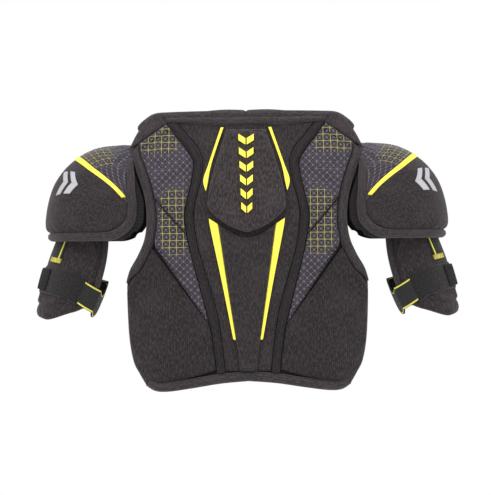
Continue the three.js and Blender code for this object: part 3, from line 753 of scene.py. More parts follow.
# Swells a cut panel. The left one is made the right one's mirror image
def swollen(made, piece, fixed, most, pressure):
    made.append(piece)
    if len(made) == 2:
        for here, there in zip(piece.data.vertices, made[0].data.vertices):
            here.co = (-there.co.x, there.co.y, there.co.z)
    else:
        inflate(piece, fixed, most, pressure)


def soften(piece):
    soft = piece.modifiers.new("soften", "SUBSURF")
    soft.levels = 1
    soft.render_levels = 1


def pad(name, region, spec, rides, finishName, stands, both=True):
    place = region.padded(spec["low"], spec["high"], spec.get("radius", 5), spec.get("rim", 0.3))
    made = []
    for side in ("right", "left") if both else ("",):
        bm = layer(place, spec["across"], spec["along"], region.flatSpot)
        bm.verts.index_update()
        fixed = heldIn(bm, lambda u, v: min(region.edgeDistance(u, v)) < spec.get("sewn", 2.5))
        suffix = "_" + side if side else ""
        piece = finish(name + suffix, bm, rides, finishName, [stands + suffix], flip=side == "left")
        swollen(made, piece, fixed, spec["most"], spec.get("pressure"))
        soften(piece)


print("back panels")
centreRegion = clothRegion(backFace, lambda t: mirrored(insideTape)(lerp(0.995, 0, t)),
                           lambda t: insideTape(lerp(0.995, 0, t)))
bladeRegion = clothRegion(backFace, lambda t: outsideTape(lerp(0.44, 0, t)),
                          lambda t: besideArmhole(lerp(0.36, 0, t)))


def gridOuter(t):
    corner = besideArmhole(0.665)
    if t < 0.6:
        return (outsideTape(0.8) + flat(1, 0.4)).lerp(corner, t / 0.6)
    return besideArmhole(lerp(0.665, 0.37, (t - 0.6) / 0.4))


def kidneyOuter(t):
    if t < 0.7:
        return sideEdge(lerp(0.97, 0.03, t / 0.7))
    return besideArmhole(lerp(1, 0.69, (t - 0.7) / 0.3)) + flat(0, -0.5)


gridRegion = clothRegion(backFace, lambda t: outsideTape(lerp(0.8, 0.447, t)), gridOuter)
kidneyRegion = clothRegion(backFace, lambda t: outsideTape(lerp(0.985, 0.808, t)), kidneyOuter,
                           bottom=lambda t: aboveHem(lerp(0.68, 0.012, t)))
upperSpineRegion = clothRegion(backFace, mirrored(upperSpineSide), upperSpineSide)
lowerSpineRegion = clothRegion(
    backFace, mirrored(lowerSpineSide), lowerSpineSide,
    top=lambda t: flat(lerp(-1, 1, t) * lowerSpineSide(1).x,
                       lowerSpineSide(1).y - 17 * math.sin(math.pi * t)))


pad("centre_panel_cover", centreRegion,
    {"low": 3.0, "high": 7.0, "across": 44, "along": 70, "radius": 4, "most": 1.2, "pressure": 1.6}, "back",
    "knit", "centre_panel", both=False)
pad("blade_pad_cover", bladeRegion,
    {"low": 3.0, "high": 11.5, "across": 30, "along": 44, "radius": 7, "rim": 0.35, "most": 2.4,
     "sewn": 5.0}, "back", "grid", "blade_pad")
pad("grid_panel_cover", gridRegion,
    {"low": 3.0, "high": 8.0, "across": 26, "along": 40, "radius": 5, "rim": 0.4, "most": 1.6, "sewn": 4.5},
    "back", "grid", "grid_panel")
pad("kidney_pad_cover", kidneyRegion,
    {"low": 3.2, "high": 10.0, "across": 44, "along": 44, "radius": 8, "rim": 0.35, "most": 2.6}, "back",
    "kidneyKnit", "kidney_pad")
pad("upper_spine_cover", upperSpineRegion,
    {"low": 8.6, "high": 18.6, "across": 36, "along": 50, "radius": 9, "rim": 0.12, "most": 2.2,
     "sewn": 1.5}, "back", "spineKnit", "upper_spine_pad", both=False)
pad("lower_spine_cover", lowerSpineRegion,
    {"low": 7.8, "high": 14.2, "across": 26, "along": 60, "radius": 5, "rim": 0.15, "most": 1.6,
     "sewn": 1.5}, "back", "knit", "lower_spine_pad", both=False)


def runner(name, inner, outer, low, high, rides, finishName, stands, along, both, across=8, power=0.5,
           wave=0.0, surface=backFace):
    def place(u, v, w):
        spot = inner(v).lerp(outer(v), u)
        s = 2 * u - 1
        full = max(1 - abs(s) ** 2.4, 0) ** power
        height = low + (high - low) * full + wave * math.sin(v * 61) * (1 - s * s)
        return surface(spot.x, spot.y, height if w > 0.5 else low)

    width = (outer(0.5) - inner(0.5)).length
    length = sum((inner((i + 1) / 40) - inner(i / 40)).length for i in range(40))
    for side in ("right", "left") if both else ("",):
        suffix = "_" + side if side else ""
        bm = layer(place, across, along, lambda u, v: ((u - 0.5) * width, v * length), (0.6, 0.0))
        finish(name + suffix, bm, rides, finishName, [stands + suffix], flip=side == "left")


print("tapes and bindings")
runner("seam_tape_cover", tapeInner, tapeOuter, 3.0, 8.2, "back", "tape", "seam_tape", 110,
       True, across=10, power=0.28)


def around(edge, end=0.0):  # the hem from the left corner to the right corner
    return lambda t: mirrored(edge)(lerp(end, 1, 2 * t)) if t < 0.5 else edge(lerp(1, end, 2 * t - 1))


def neckInner(share):
    spot = neckEdge(share)
    return flat(spot.x * (1 - 0.045 * smooth(abs(share), 0.7, 0.95)),
                spot.y - lerp(11, 5.5, smooth(abs(spot.x), 30, 88)))


runner("armhole_binding_cover", carried(armholeInside(0), flat(128.6, -16.8), 0.05),
       shifted(armholeEdge, 1.2), 2.4, 10.6, "back", "binding", "armhole_binding", 90, True,
       across=12, wave=0.25)
runner("hem_binding_cover", around(shifted(hemEdge, -11)), around(shifted(hemEdge, 1.0)), 2.4, 10.4, "back",
       "binding", "hem_binding", 150, False, across=12, wave=0.25)
runner("neck_binding_cover", lambda t: neckInner(lerp(-0.66, 0.66, t)),
       lambda t: neckEdge(lerp(-0.66, 0.66, t)) + flat(0, 0.8), 2.4, 10.6, "back", "binding",
       "neck_binding", 120, False, across=12, wave=0.2)


def linerSide(t):
    return sideEdge(1 - t / 0.4) if t < 0.4 else armholeEdge(1 - (t - 0.4) / 0.6)


linerRegion = clothRegion(
    backFace, mirrored(linerSide), linerSide,
    bottom=lambda t: mirrored(hemEdge)(2 * t) if t < 0.5 else hemEdge(2 - 2 * t),
    top=lambda t: neckEdge(lerp(-0.955, 0.955, t)))


def lay(name, region, low, high, across, along, rides, finishName, stands, both=False,
        crowd=(0.3, 0.3)):
    for side in ("right", "left") if both else ("",):
        suffix = "_" + side if side else ""
        bm = layer(lambda u, v, w: region.at(u, v, lerp(low, high, w)), across, along, region.flatSpot, crowd)
        finish(name + suffix, bm, rides, finishName, [stands + suffix] if stands else [],
               flip=side == "left")


lay("back_lining", linerRegion, -0.3, 2.4, 60, 80, "back", "lining", "back_liner")

upperStrip = clothRegion(backFace, outline((0.3305, 0.238), (0.317, 0.212), (0.283, 0.133), (0.184, -0.002)),
                          outline((0.333, 0.239), (0.352, 0.1965), (0.306, 0.133), (0.208, -0.002)))
lowerStrip = clothRegion(backFace, outline((0.099, 0.797), (0.166, 0.589), (0.226, 0.392), (0.241, 0.362)),
                          outline((0.12, 0.795), (0.205, 0.589), (0.296, 0.384), (0.309, 0.342)))
lay("upper_strip_print", upperStrip, 6.6, 9.7, 4, 40, "back", "film", "upper_accent_strip",
    True)
lay("lower_strip_print", lowerStrip, 6.6, 9.3, 4, 60, "back", "film", "lower_accent_strip",
    True)


yokeRegion = clothRegion(
    backFace, lambda t: flat(95.6, 6.6).lerp(flat(84, 15), t),
    lambda t: flat(129.5, -16.9).lerp(flat(142, -24), t),
    top=lambda t: flat(lerp(84, 142, t), crest(lerp(84, 142, t)) + 1.5))
pair("shoulder_yoke_SIDE", lambda: layer(yokeRegion.padded(2.6, 8.6, 5, 0.3), 30, 12, yokeRegion.flatSpot),
     "back", "binding", levels=1)


def barOn(surface, corners, low, high):  # a printed bar between four corners, lifted off the cloth
    a, b, c, d = (flat(*corner) for corner in corners)
    region = clothRegion(surface, straight(a, d), straight(b, c))
    return layer(lambda u, v, w: region.at(u, v, lerp(low, high, w)), 6, 6, region.flatSpot, (0.0, 0.0))


def joined(parts):
    whole = bmesh.new()
    for part in parts:
        mesh = bpy.data.meshes.new("part")
        part.to_mesh(mesh)
        part.free()
        whole.from_mesh(mesh)
        bpy.data.meshes.remove(mesh)
    return whole


# A generic spine mark: pairs of slanted bars that meet like vertebrae, narrowing downwards
bars = []
for step in range(6):
    z = -9 - step * 16.4
    half = 9.2 - step * 0.55
    for sign in (-1, 1):
        corners = ((0.7 * sign, z - 4.2), (half * sign, z + 1.2), (half * sign, z - 6.6),
                   (0.7 * sign, z - 12.0))
        bars.append(barOn(backFace, corners, 15.5, 19.6))
finish("spine_mark_print", joined(bars), "back", "film")


print("stitching")


# a line beside one edge of a pad, on top of its cloth
def besideEdge(region, side, inset, first=0.0, last=1.0):
    def path(t):
        t = lerp(first, last, t)
        if side in ("top", "bottom"):
            share = inset / (region.top(t) - region.bottom(t)).length
            u, v = t, 1 - share if side == "top" else share
        else:
            share = inset / (region.right(t) - region.left(t)).length
            u, v = 1 - share if side == "right" else share, t
        return region.at(u, v, region.height(u, v) + 0.8)

    return path


def onBack(edge, above, first=0.0, last=1.0):
    return lambda t: backFace(edge(lerp(first, last, t)).x, edge(lerp(first, last, t)).y, above)


sewn("blade_stitches", [(besideEdge(bladeRegion, "top", 4.0, 0.03, 0.97), backwards)], "back", pitch=6.2,
     length=4.6, thick=1.9)
sewn("diagonal_stitches", [(besideEdge(gridRegion, "right", 2.4, 0.02, 0.58), backwards),
                           (besideEdge(bladeRegion, "bottom", 2.4, 0.03, 0.97), backwards)],
     "back", pitch=4.8, length=3.3, thick=1.5)
sewn("tape_stitches", [(onBack(shifted(tapeOuter, -2.6), 8.2, 0.01, 0.99), backwards),
                       (onBack(shifted(tapeInner, 2.6), 8.2, 0.01, 0.99), backwards)],
     "back", pitch=3.4, length=2.3, thick=1.1)
sewn("armhole_stitches", [(onBack(shifted(armholeEdge, -9.6), 8.6, 0.02, 0.98), backwards)], "back",
     pitch=3.4, thick=0.8)
sewn("spine_stitches", [
    (onBack(shifted(lowerSpineSide, 1.2), 9.8, 0.02, 0.98), backwards),
    (onBack(shifted(upperSpineSide, -1.6), 11.4, 0.02, 0.98), backwards)], "back", pitch=3.2, thick=0.8)
sewn("hem_stitches", [(onBack(shifted(hemEdge, -9.6), 8.4, 0.02, 1.0), backwards)], "back", pitch=3.4,
     thick=0.8)


print("collar and arches")
collar = {"radius": 8.6, "halfWidth": 50, "rear": 40, "crown": 12.5}


def collarPath():
    w, r, c = collar["halfWidth"], collar["rear"], collar["crown"]
    return curveThrough([Vector((-1.0, -r - 15.5, c)), Vector((w * 0.5, -r - 12.5, c + 1)),
                         Vector((w * 0.95, -r * 0.86, c + 0.5)), Vector((w * 1.08, -r * 0.2, c)),
                         Vector((w, r * 0.4, c - 4)), Vector((w * 0.96, 29, c - 12))])


# A padded roll along a path: a cylinder, bent, rounded off at its ends and folded in along its seam
def tubeMesh(path, radii, across, along, length, seam=0.0, crowd=0.4):
    bm = bmesh.new()
    bmesh.ops.create_cone(bm, cap_ends=True, cap_tris=False, segments=across, radius1=0.5, radius2=0.5,
                          depth=1)
    sides = [e for e in bm.edges if abs(e.verts[0].co.z - e.verts[1].co.z) > 0.5]
    bmesh.ops.subdivide_edges(bm, edges=sides, cuts=along, use_grid_fill=False)
    uv = bm.loops.layers.uv.new("cloth")

    def turnOf(vert):
        return math.atan2(vert.co.y, vert.co.x) / (2 * math.pi) % 1.0

    for face in bm.faces:
        turns = [turnOf(loop.vert) for loop in face.loops]
        wraps = max(turns) - min(turns) > 0.5
        for loop, turn in zip(face.loops, turns):
            turned = turn + 1 if wraps and turn < 0.5 else turn
            loop[uv].uv = (turned * 2 * math.pi * radii[0] * mm, (loop.vert.co.z + 0.5) * length * mm)
    for vert in bm.verts:
        a = 2 * math.pi * turnOf(vert)
        v = spread(clamp(vert.co.z + 0.5), crowd)
        ahead = (path(min(v + 0.01, 1)) - path(max(v - 0.01, 0))).normalized()
        side = ahead.cross(up).normalized()
        rise = side.cross(ahead)
        fold = 1 - seam * math.exp(-(math.sin((a - 0.9) / 2) / 0.09) ** 2)
        size = 0.55 + 0.45 * roundEdge(min(v, 1 - v) * 100, 5)
        vert.co = (path(v) + side * (math.cos(a) * radii[0] * size * fold)
                   + rise * (math.sin(a) * radii[1] * size * fold)) * mm
    bmesh.ops.recalc_face_normals(bm, faces=bm.faces[:])
    return bm


pair("collar_roll_SIDE_cover",
     lambda: tubeMesh(collarPath(), (collar["radius"], collar["radius"] + 0.8), 28, 70, 190, seam=0.12),
     "back", "binding", "collar_roll_SIDE")


# The padded band that stands up behind the neck binding, in two halves that meet at the centre
def bandPath():
    xs = (0.4, 20, 44, 70, 92, 108, 118, 124, 128)
    drop = (0, 0, 0, 0.2, 0.5, 0.6, 0.4, 0, -0.8)
    return curveThrough([backFace(x, crest(x) - 6.2 - d, 1.0) for x, d in zip(xs, drop)])


pair("collar_band_SIDE", lambda: tubeMesh(bandPath(), (6.0, 7.4), 24, 90, 145, seam=0.1), "back", "binding")


def archPlace(u, v, w):
    x = lerp(60, 137.5, u)
    rearHeight = crest(x) - 19
    rear = backFace(x, rearHeight, -1.6).y
    sweep = math.pi * lerp(0.02, 0.98, v)
    middle = (rear + 41) / 2
    full = 0.35 + 0.65 * roundEdge(min(u, 1 - u) * 78, 8) * roundEdge(min(v, 1 - v) * 150, 8)
    thick = (1 - w) * 7 - (w * 1.2 * full if w > 0.5 else 0) + w * 7 * (1 - full) * 0.6
    reach = (41 - rear) / 2 - thick
    rise = 19 - thick
    return Vector((x, middle - reach * signedPower(math.cos(sweep), 0.8),
                   rearHeight + rise * math.sin(sweep) ** 0.7))


pair("shoulder_arch_SIDE_cover", lambda: layer(archPlace, 30, 50, lambda u, v: (u * 78, v * 150)),
     "back", "binding", "shoulder_arch_SIDE", levels=1)


print("caps")


stripe = {"reach": 67, "width": 6.8}
capEdge = {"binding": 11.5, "reveal": 10}


def stripeAt(latitude):  # the longitude of the stripe's middle
    share = latitude / stripe["reach"]
    return 33.6 - 22.1 * share ** 2 - 1.4 * share ** 4


def capBulge(longitude):  # the foam stands fuller on the outside of the shoulder
    return 3.4 * smooth(longitude, 30, 62)


def fromRear(x, z):  # the longitude and latitude of the cap's half that shows behind this place
    power = 1 / cap["fullness"]
    latitude = 60.0
    for i in range(16):
        lean = cap["lean"] * smooth(latitude, 35, 86)
        wide = signedPower((x + lean - cap["centre"]) / cap["reach"], power)
        tall = signedPower(max(z - cap["rim"], 0) / cap["rise"], power)
        latitude = (latitude + math.degrees(math.acos(clamp(math.hypot(wide, tall))))) / 2
    return math.degrees(math.atan2(wide, tall)), latitude


def seenFromBehind(x, z):
    longitude, latitude = fromRear(x, z)
    return dome(longitude, -latitude, 0)


def onDome(spot):  # the longitude and latitude nearest to a spot
    power = 1 / cap["fullness"]
    share = clamp(spot.y / cap["halfDepth"], -1, 1)
    if abs(share) > 0.8:
        longitude, latitude = fromRear(spot.x, spot.z)
        return longitude, math.copysign(latitude, spot.y)
    latitude = math.degrees(math.asin(signedPower(share, power)))
    lean = cap["lean"] * smooth(abs(latitude), 35, 86)
    wide = signedPower((spot.x + lean - cap["centre"]) / cap["reach"], power)
    tall = signedPower((spot.z - cap["rim"]) / cap["rise"], power)
    return math.degrees(math.atan2(wide, tall)), latitude


def capLoop(reveal):  # the closed line that the binding follows, evenly spaced
    rear = []
    turn = cap["rim"] + cap["corner"]
    for i in range(40):
        z = lerp(-19, turn, i / 40)
        rear.append(seenFromBehind(capEdgeAt(z, reveal), z))
    for i in range(24):
        z = turn - cap["corner"] * math.sin(math.pi / 2 * i / 24)
        rear.append(seenFromBehind(capEdgeAt(z, reveal), z))
    corner = capEdgeAt(cap["rim"], reveal)
    for i in range(60):
        rear.append(seenFromBehind(lerp(corner, cap["centre"] + cap["reach"],
                                        math.sin(math.pi / 2 * i / 59)), cap["rim"]))
    rear = [spot for spot in rear if spot.y < -1]
    spots = rear + [Vector((spot.x, -spot.y, spot.z)) for spot in reversed(rear)]
    for turn in range(3):
        spots = [(spots[i - 1] + 2 * spots[i] + spots[(i + 1) % len(spots)]) / 4 for i in range(len(spots))]
    lengths = [0.0]
    for i in range(len(spots)):
        lengths.append(lengths[-1] + (spots[(i + 1) % len(spots)] - spots[i]).length)
    even = []
    place = 0
    for n in range(300):
        wanted = lengths[-1] * n / 300
        while lengths[place + 1] < wanted:
            place += 1
        share = (wanted - lengths[place]) / max(lengths[place + 1] - lengths[place], 1e-6)
        even.append(spots[place].lerp(spots[(place + 1) % len(spots)], share))
    return even, lengths[-1]


bindingLoop, bindingLength = capLoop(capEdge["reveal"])
loopTree = KDTree(len(bindingLoop))
for i, spot in enumerate(bindingLoop):
    loopTree.insert(spot, i)
loopTree.balance()


def capSpot(u, v, reveal=0.0):  # latitude and longitude on the cap
    latitude = capLatitude(v, reveal)
    first, last = capSpan(latitude, reveal)
    return latitude, lerp(first, last, u)


def capCloth(u, v):  # millimetres over the crown, from the stripe
    latitude, longitude = capSpot(u, v, capEdge["reveal"])
    return latitude * 1.45, (stripeAt(latitude) - longitude) * 1.7


def capCoverPlace(u, v, w):
    u, v = lerp(0.01, 0.99, u), lerp(0.006, 0.994, v)
    latitude, longitude = capSpot(u, v, capEdge["reveal"])
    gap = loopTree.find(dome(longitude, latitude, 0))[2] - capEdge["binding"] + 1.5
    full = roundEdge(gap, 10)
    pucker = 0.4 * math.exp(-(gap / 7) ** 2) * math.sin((latitude + longitude) * 0.55)
    if u < 0.5:  # under the arch it runs on without a rounded edge
        full = max(full, 1 - smooth(abs(latitude), 24, 46))
    return dome(longitude, latitude, lerp(2.8, -1.4 - capBulge(longitude), full) - pucker if w > 0.5 else 3.4)


covers = []
for side in ("right", "left"):
    bm = layer(capCoverPlace, 60, 80, capCloth, (0.6, 0.5))
    bm.verts.index_update()
    edgeVerts = {vert.index for vert in bm.verts if loopTree.find(vert.co / mm)[2] < capEdge["binding"] + 2}
    fixed = sorted(edgeVerts | set(heldIn(bm, lambda u, v: False)))
    piece = finish("cap_cover_" + side + "_cloth", bm, "cap_" + side, "capGrid",
                   ["cap_cover_" + side], flip=side == "left")
    piece.data.materials.append(finishes["knit"])
    swollen(covers, piece, fixed, 1.6, 1.4)
    uvs = piece.data.uv_layers["cloth"].data
    for face in piece.data.polygons:  # grid cloth over the crown, plain knit below the stripe
        spot = Vector((0, 0))
        for corner in face.loop_indices:
            spot += uvs[corner].uv / len(face.loop_indices)
        if spot.y < 0:
            face.material_index = 1
    soften(piece)


def capBindingPlace(u, v, w):
    place = v * len(bindingLoop)
    i = int(place) % len(bindingLoop)
    here = bindingLoop[i].lerp(bindingLoop[(i + 1) % len(bindingLoop)], place - int(place))
    ahead = (bindingLoop[(i + 2) % len(bindingLoop)] - bindingLoop[i - 1]).normalized()
    inward = capOutward(here).cross(ahead).normalized()
    away = min(v, 1 - v) * bindingLength
    crown = 1 - smooth(away, 26, 72)  # it thins where the cap tucks under the arch
    spot = here + inward * (capEdge["binding"] * u * (1 - 0.5 * crown))
    longitude, latitude = onDome(spot)
    full = max(1 - abs(2 * u - 1) ** 2.2, 0) ** 0.5
    top = lerp(-2.6, 2.6, crown) - capBulge(longitude) * 0.5 * (1 - smooth(longitude, 75, 88))
    return dome(longitude, latitude, lerp(5.4, top, full) if w > 0.5 else 6.0)


def capLiningPlace(u, v, w):
    full = roundEdge(min(u, 1 - u) * 150, 7) * roundEdge(min(v, 1 - v) * 190, 7)
    return hood(u, v, 11.8 if w < 0.5 else lerp(11.8, 5.6, 0.25 + 0.75 * full))


def capShellPlace(u, v, w):
    return hood(lerp(0.05, 0.95, u), lerp(0.05, 0.95, v), lerp(5.4, 3.6, w), 12)


pair("cap_binding_SIDE_roll",
     lambda: layer(capBindingPlace, 12, 260, lambda u, v: ((u - 0.5) * 12, v * bindingLength), (0.5, 0.0)),
     "cap_SIDE", "binding", "cap_binding_SIDE")
pair("cap_lining_SIDE", lambda: layer(capLiningPlace, 48, 70, capCloth, (0.6, 0.6)),
     "cap_SIDE", "lining", "cap_liner_SIDE")
pair("cap_shell_SIDE_insert", lambda: layer(capShellPlace, 36, 50, capCloth, (0.3, 0.3)),
     "cap_SIDE", "plastic", "cap_shell_SIDE")


def stripePlace(u, v, w):
    share = lerp(-1, 1, v)
    latitude = share * stripe["reach"]
    half = math.degrees(stripe["width"] / 2 / cap["reach"]) / math.cos(math.radians(latitude * 0.8)) ** 0.6
    return dome(stripeAt(latitude) + lerp(-half, half, u), latitude, lerp(0.6, -3.4, w))


# A generic cap mark: two chevrons side by side, pressed on below the stripe
capMark = {"latitude": -33, "longitude": 50, "turn": (0.86, 0.5), "starts": (-18, -2), "width": 9,
           "tall": 16, "reach": 11}


def chevrons():
    parts = []
    for start in capMark["starts"]:
        for sign in (-1, 1):
            a, b = flat(start, 0), flat(start + capMark["width"], 0)
            d = flat(start + capMark["reach"], sign * capMark["tall"])
            c = flat(start + capMark["reach"] + capMark["width"], sign * capMark["tall"])
            region = clothRegion(None, straight(a, d), straight(b, c))

            def place(u, v, w, region=region):
                spot = region.flatSpot(u, v)
                along, across = capMark["turn"]
                latitude = capMark["latitude"] + spot.x / 1.45 * along - spot.y / 1.45 * across
                longitude = capMark["longitude"] + spot.y / 1.7 * along + spot.x / 1.7 * across
                return dome(longitude, latitude, lerp(1.2, -3.6, w) - capBulge(longitude))

            parts.append(layer(place, 6, 10, region.flatSpot, (0.0, 0.0)))
    whole = joined(parts)
    bmesh.ops.recalc_face_normals(whole, faces=whole.faces[:])
    return whole


pair("cap_mark_SIDE_print", chevrons, "cap_SIDE", "greyFilm")
pair("cap_stripe_SIDE_print", lambda: layer(stripePlace, 4, 80, lambda u, v: (u * 6.8, v * 150), (0.2, 0.0)),
     "cap_SIDE", "film", "cap_stripe_SIDE")
for name in ("spine_plate", "sternum_plate"):
    frame["nodes"][name].data.materials.clear()
    frame["nodes"][name].data.materials.append(finishes["plastic"])


print("chest")


def chestOutline(*points):
    return curveThrough([flat(s * chestRound, -d * body["height"]) for s, d in points])


chestSide = chestOutline((0.5, 0.035), (0.47, 0.15), (0.46, 0.26), (0.58, 0.37), (0.84, 0.47), (0.93, 0.54),
                         (0.94, 0.7), (0.94, 0.83))
chestHem = chestOutline((0.94, 0.83), (0.7, 0.855), (0.35, 0.85), (0, 0.845))
chestNeck = chestOutline((0, 0.17), (0.14, 0.155), (0.24, 0.1), (0.26, 0.035))
chestShoulder = straight(chestNeck(1), chestSide(0))


def chestTop(t):
    side = abs(2 * t - 1)
    spot = chestShoulder((side - 0.45) / 0.55) if side > 0.45 else chestNeck(side / 0.45)
    return flat(math.copysign(spot.x, 2 * t - 1), spot.y)


chestRegion = clothRegion(chestFace, lambda t: mirrored(chestSide)(1 - t), lambda t: chestSide(1 - t),
                          bottom=lambda t: mirrored(chestHem)(2 * t) if t < 0.5 else chestHem(2 - 2 * t),
                          top=chestTop)
lay("chest_lining", chestRegion, -0.3, 2.4, 70, 70, "chest", "lining", "chest_liner")


def chestRim(t):
    walk = ((0.3, chestSide), (0.5, chestHem), (0.7, lambda s: mirrored(chestHem)(1 - s)),
            (1, lambda s: mirrored(chestSide)(1 - s)))
    begin = 0
    for end, edge in walk:
        if t <= end:
            return edge((t - begin) / (end - begin))
        begin = end
    return mirrored(chestSide)(0)


runner("chest_edge_binding_roll", shifted(chestRim, -11), shifted(chestRim, 1.0), 2.4, 9.6, "chest",
       "binding", "chest_edge_binding", 220, False, across=10, surface=chestFace)
sternumSide = chestOutline((0.11, 0.51), (0.17, 0.35), (0.13, 0.225))
bellySide = chestOutline((0.8, 0.79), (0.8, 0.65), (0.76, 0.545))
sternumRegion = clothRegion(chestFace, mirrored(sternumSide), sternumSide)
bellyRegion = clothRegion(chestFace, mirrored(bellySide), bellySide)
chestPadRegion = clothRegion(chestFace, chestOutline((0.2, 0.51), (0.21, 0.35), (0.25, 0.2), (0.31, 0.08)),
                             chestOutline((0.66, 0.51), (0.48, 0.4), (0.36, 0.27), (0.39, 0.08)))
pad("sternum_cover", sternumRegion,
    {"low": 5.8, "high": 13.0, "across": 22, "along": 36, "radius": 7, "most": 1.8}, "chest", "spineKnit",
    "sternum_pad", both=False)
pad("belly_cover", bellyRegion,
    {"low": 3.0, "high": 8.4, "across": 60, "along": 24, "radius": 6, "most": 2.2}, "chest", "kidneyKnit",
    "belly_pad", both=False)
pad("chest_pad_cover", chestPadRegion,
    {"low": 3.0, "high": 12.0, "across": 26, "along": 40, "radius": 8, "most": 2.2}, "chest", "grid",
    "chest_pad")


def lump(name, node, rides, finishName, along=12):  # a small tab, cut from the box of its node
    low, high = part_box(node)
    low, high = low / mm, high / mm
    outer = high.x if low.x > 0 else low.x
    inner = low.x if low.x > 0 else high.x

    def place(u, v, w):
        full = roundEdge(min(u, 1 - u) * 36, 3) * roundEdge(min(v, 1 - v) * 34, 3)
        return Vector((lerp(inner, outer + math.copysign(0.5, outer) * full, w), lerp(low.y, high.y, u),
                       lerp(low.z, high.z, v)))

    bm = layer(place, along, along, lambda u, v: (u * 34, v * 34))
    finish(name, bm, rides, finishName, [node])


for side in ("right", "left"):
    lump("flank_loop_patch_" + side + "_pile", "flank_loop_patch_" + side, "chest", "pile")
    lump("side_strap_tab_" + side + "_hook", "side_strap_tab_" + side, "side_strap_" + side, "hook")

strapSeam = body["halfWidth"] * 0.9
strapRear = backFace(strapSeam, -250, -2.4).y
sidePath = curveThrough([flat(strapSeam, strapRear),
                         flat(lerp(strapSeam, 117.8, 0.62), lerp(strapRear, 12, 0.45)), flat(117.8, 6),
                         flat(117.8, 22), flat(117.8, 52)])


def sideStrapPlace(u, v, w):
    spot = sidePath(v)
    ahead = (sidePath(min(v + 0.01, 1)) - sidePath(max(v - 0.01, 0))).normalized()
    lift = 1.6 * w
    return Vector((spot.x + ahead.y * lift, spot.y - ahead.x * lift, -280 + 30 * u))


for side in ("right", "left"):
    flip = -1 if side == "left" else 1
    bm = layer(sideStrapPlace, 12, 70, lambda u, v: ((u - 0.5) * 30, v * 100), (0.3, 0.0))
    hinge = Vector((0.1315 * flip, -0.0455, -0.265))
    finish("side_strap_" + side + "_webbing", bm,
           ("back", "side_strap_" + side, hinge + Vector((0, -0.004, 0)), hinge + Vector((0, 0.012, 0))),
           "sideElastic", ["side_strap_" + side], flip=side == "left")


print("biceps")
guard = {"rear": -26, "front": 200, "binding": 13}


def guardFoot(angle):  # the foot drops towards the outside of the arm
    if angle > 90:
        return 0.985 - 0.25 * smooth(angle, 110, 200)
    return 0.985 - 0.17 * (1 - smooth(angle, -22, 52)) - 0.1 * (1 - smooth(angle, -40, 0))


def guardPlace(u, v, w):
    angle = lerp(guard["rear"] + guard["binding"], guard["front"] - 2, u)
    full = roundEdge(min(u, 1 - u) * 190, 9) * roundEdge(min(v, 1 - v) * 100, 9)
    welt = 1.6 * math.exp(-((v - 0.87) / 0.022) ** 2)  # the seam above the foot
    above = 0.4 if w < 0.5 else lerp(3.0, 9.4, full) - welt
    return arm(angle, v * guardFoot(angle), above)


def guardBindingPlace(u, v, w):
    angle = lerp(guard["rear"] - 1, guard["rear"] + guard["binding"] + 0.5, u)
    s = 2 * u - 1
    return arm(angle, v * guardFoot(angle), 0 if w < 0.5 else 9.0 * max(1 - abs(s) ** 2.4, 0) ** 0.5)


def strapDown(angle):
    return 0.61 + 0.1 * math.sin(math.pi * clamp((20 - angle) / 140))


def wrapped(fromAngle, toAngle, half, low, high, crown=0.0):
    def place(u, v, w):
        angle = lerp(fromAngle, toAngle, v)
        down = strapDown(angle) + lerp(-half, half, u) / arms["length"]
        length = abs(toAngle - fromAngle) * 0.7
        full = roundEdge(min(u, 1 - u) * 2 * half, 3) * roundEdge(min(v, 1 - v) * length, 3)
        spot = arm(angle, down, 9.2 + (low if w < 0.5 else high + crown * full))
        if angle < -20:  # past the guard's open side the strap runs straight to its front edge
            spot.x = max(spot.x, arms["topX"] + arms["bend"] * down ** 2 - 18 - (0 if w < 0.5 else high))
        return spot
    return place


guardPads = []
for side in ("right", "left"):
    bm = layer(guardPlace, 64, 44, lambda u, v: (u * 190, v * 105), (0.5, 0.6))
    bm.verts.index_update()
    fixed = heldIn(bm, lambda u, v: min(u, 1 - u) < 0.03 or min(v, 1 - v) < 0.04 or abs(v - 0.87) < 0.02)
    piece = finish("biceps_guard_" + side + "_cover", bm, "biceps_" + side, "knit",
                   ["biceps_guard_" + side], flip=side == "left")
    swollen(guardPads, piece, fixed, 2.0, 2.0)
    soften(piece)

pair("biceps_binding_SIDE_roll",
     lambda: layer(guardBindingPlace, 10, 50, lambda u, v: ((u - 0.5) * 11, v * 105), (0.5, 0.0)),
     "biceps_SIDE", "binding", "biceps_binding_SIDE")
pair("biceps_loop_patch_SIDE_pile",
     lambda: layer(wrapped(1, 82, 15.0, 0.0, 2.2, 1.0), 18, 60, lambda u, v: ((u - 0.5) * 30, v * 72),
                   (0.4, 0.4)),
     "biceps_SIDE", "pile", "biceps_loop_patch_SIDE")
pair("biceps_strap_SIDE_webbing",
     lambda: layer(wrapped(4, -246.5, 12.5, 0.2, 2.0), 10, 110, lambda u, v: ((u - 0.5) * 25, v * 190),
                   (0.2, 0.0)),
     "biceps_SIDE", "elastic", "biceps_strap_SIDE")
pair("biceps_hook_tab_SIDE_tape",
     lambda: layer(wrapped(56, 112, 12, 3.4, 5.2, 0.4), 12, 40, lambda u, v: ((u - 0.5) * 24, v * 44),
                   (0.3, 0.3)),
     "biceps_tab_SIDE", "hook", "biceps_hook_tab_SIDE")


def hangerPlace(u, v, w):
    angle = lerp(50, 56, v) + lerp(-9, 9, u)
    return arm(angle, lerp(0.02, 0.4, v), 10.4 + 2.2 * w)


def hangerTipPlace(u, v, w):
    angle = lerp(55.6, 56.4, v) + lerp(-9.6, 9.6, u)
    return arm(angle, lerp(0.37, 0.42, v), 10.2 + 3.0 * w)


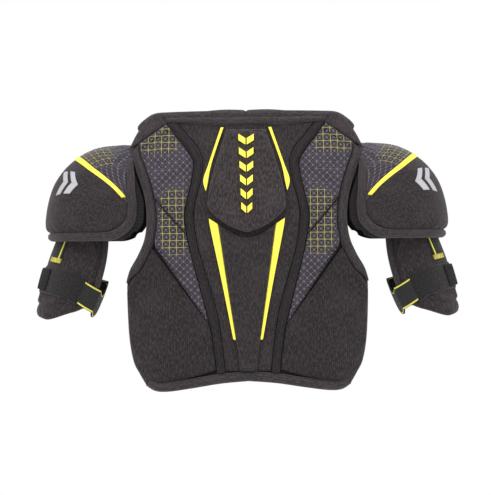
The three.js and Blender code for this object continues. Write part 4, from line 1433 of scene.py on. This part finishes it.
pair("biceps_hanger_SIDE_webbing",
     lambda: layer(hangerPlace, 8, 24, lambda u, v: ((u - 0.5) * 12 - 2, v * 40), (0.2, 0.0)), "biceps_SIDE",
     "plainElastic", "biceps_hanger_SIDE")
pair("biceps_hanger_SIDE_tip",
     lambda: layer(hangerTipPlace, 8, 4, lambda u, v: ((u - 0.5) * 13, v * 5), (0.2, 0.0)), "biceps_SIDE",
     "yellowThread")


print("studio")
bm = bmesh.new()
bmesh.ops.create_grid(bm, x_segments=2, y_segments=2, size=2.5)
bmesh.ops.translate(bm, verts=bm.verts[:], vec=(0, -1.2, -0.72))
floorMesh = bpy.data.meshes.new("floor")
bm.to_mesh(floorMesh)
bm.free()
floorMaterial = bpy.data.materials.new("paleFloor")
floorMaterial.use_nodes = True
floorMaterial.node_tree.nodes["Principled BSDF"].inputs["Base Color"].default_value = shade("#e9e9e9")
floorMaterial.node_tree.nodes["Principled BSDF"].inputs["Roughness"].default_value = 0.8
floorMesh.materials.append(floorMaterial)
floor = bpy.data.objects.new("floor", floorMesh)
bpy.context.scene.collection.objects.link(floor)

world = bpy.data.worlds.new("studio")
bpy.context.scene.world = world
world.use_nodes = True
world.node_tree.nodes["Background"].inputs["Color"].default_value = (1, 1, 1, 1)
world.node_tree.nodes["Background"].inputs["Strength"].default_value = 1.0

for name, spot, size, power in (("key", (-1.1, -1.9, 1.5), 1.4, 26), ("fill", (1.5, -1.8, 0.8), 1.6, 14)):
    lamp = bpy.data.lights.new(name, "AREA")
    lamp.size = size
    lamp.energy = power
    holder = bpy.data.objects.new(name, lamp)
    holder.location = spot
    holder.rotation_euler = (Vector((0, 0, -0.12)) - Vector(spot)).to_track_quat("-Z", "Y").to_euler()
    bpy.context.scene.collection.objects.link(holder)

view = {"distance": 2.8, "height": -0.1434, "across": -0.002, "roll": 0.6, "lens": 166}
cameraData = bpy.data.cameras.new("camera")
cameraData.lens = view["lens"]
cameraData.sensor_width = 36
camera = bpy.data.objects.new("camera", cameraData)
camera.location = (view["across"], -view["distance"], view["height"])
camera.rotation_euler = (math.radians(90), math.radians(view["roll"]), 0)
bpy.context.scene.collection.objects.link(camera)
bpy.context.scene.camera = camera
bpy.context.scene.view_settings.view_transform = "Standard"
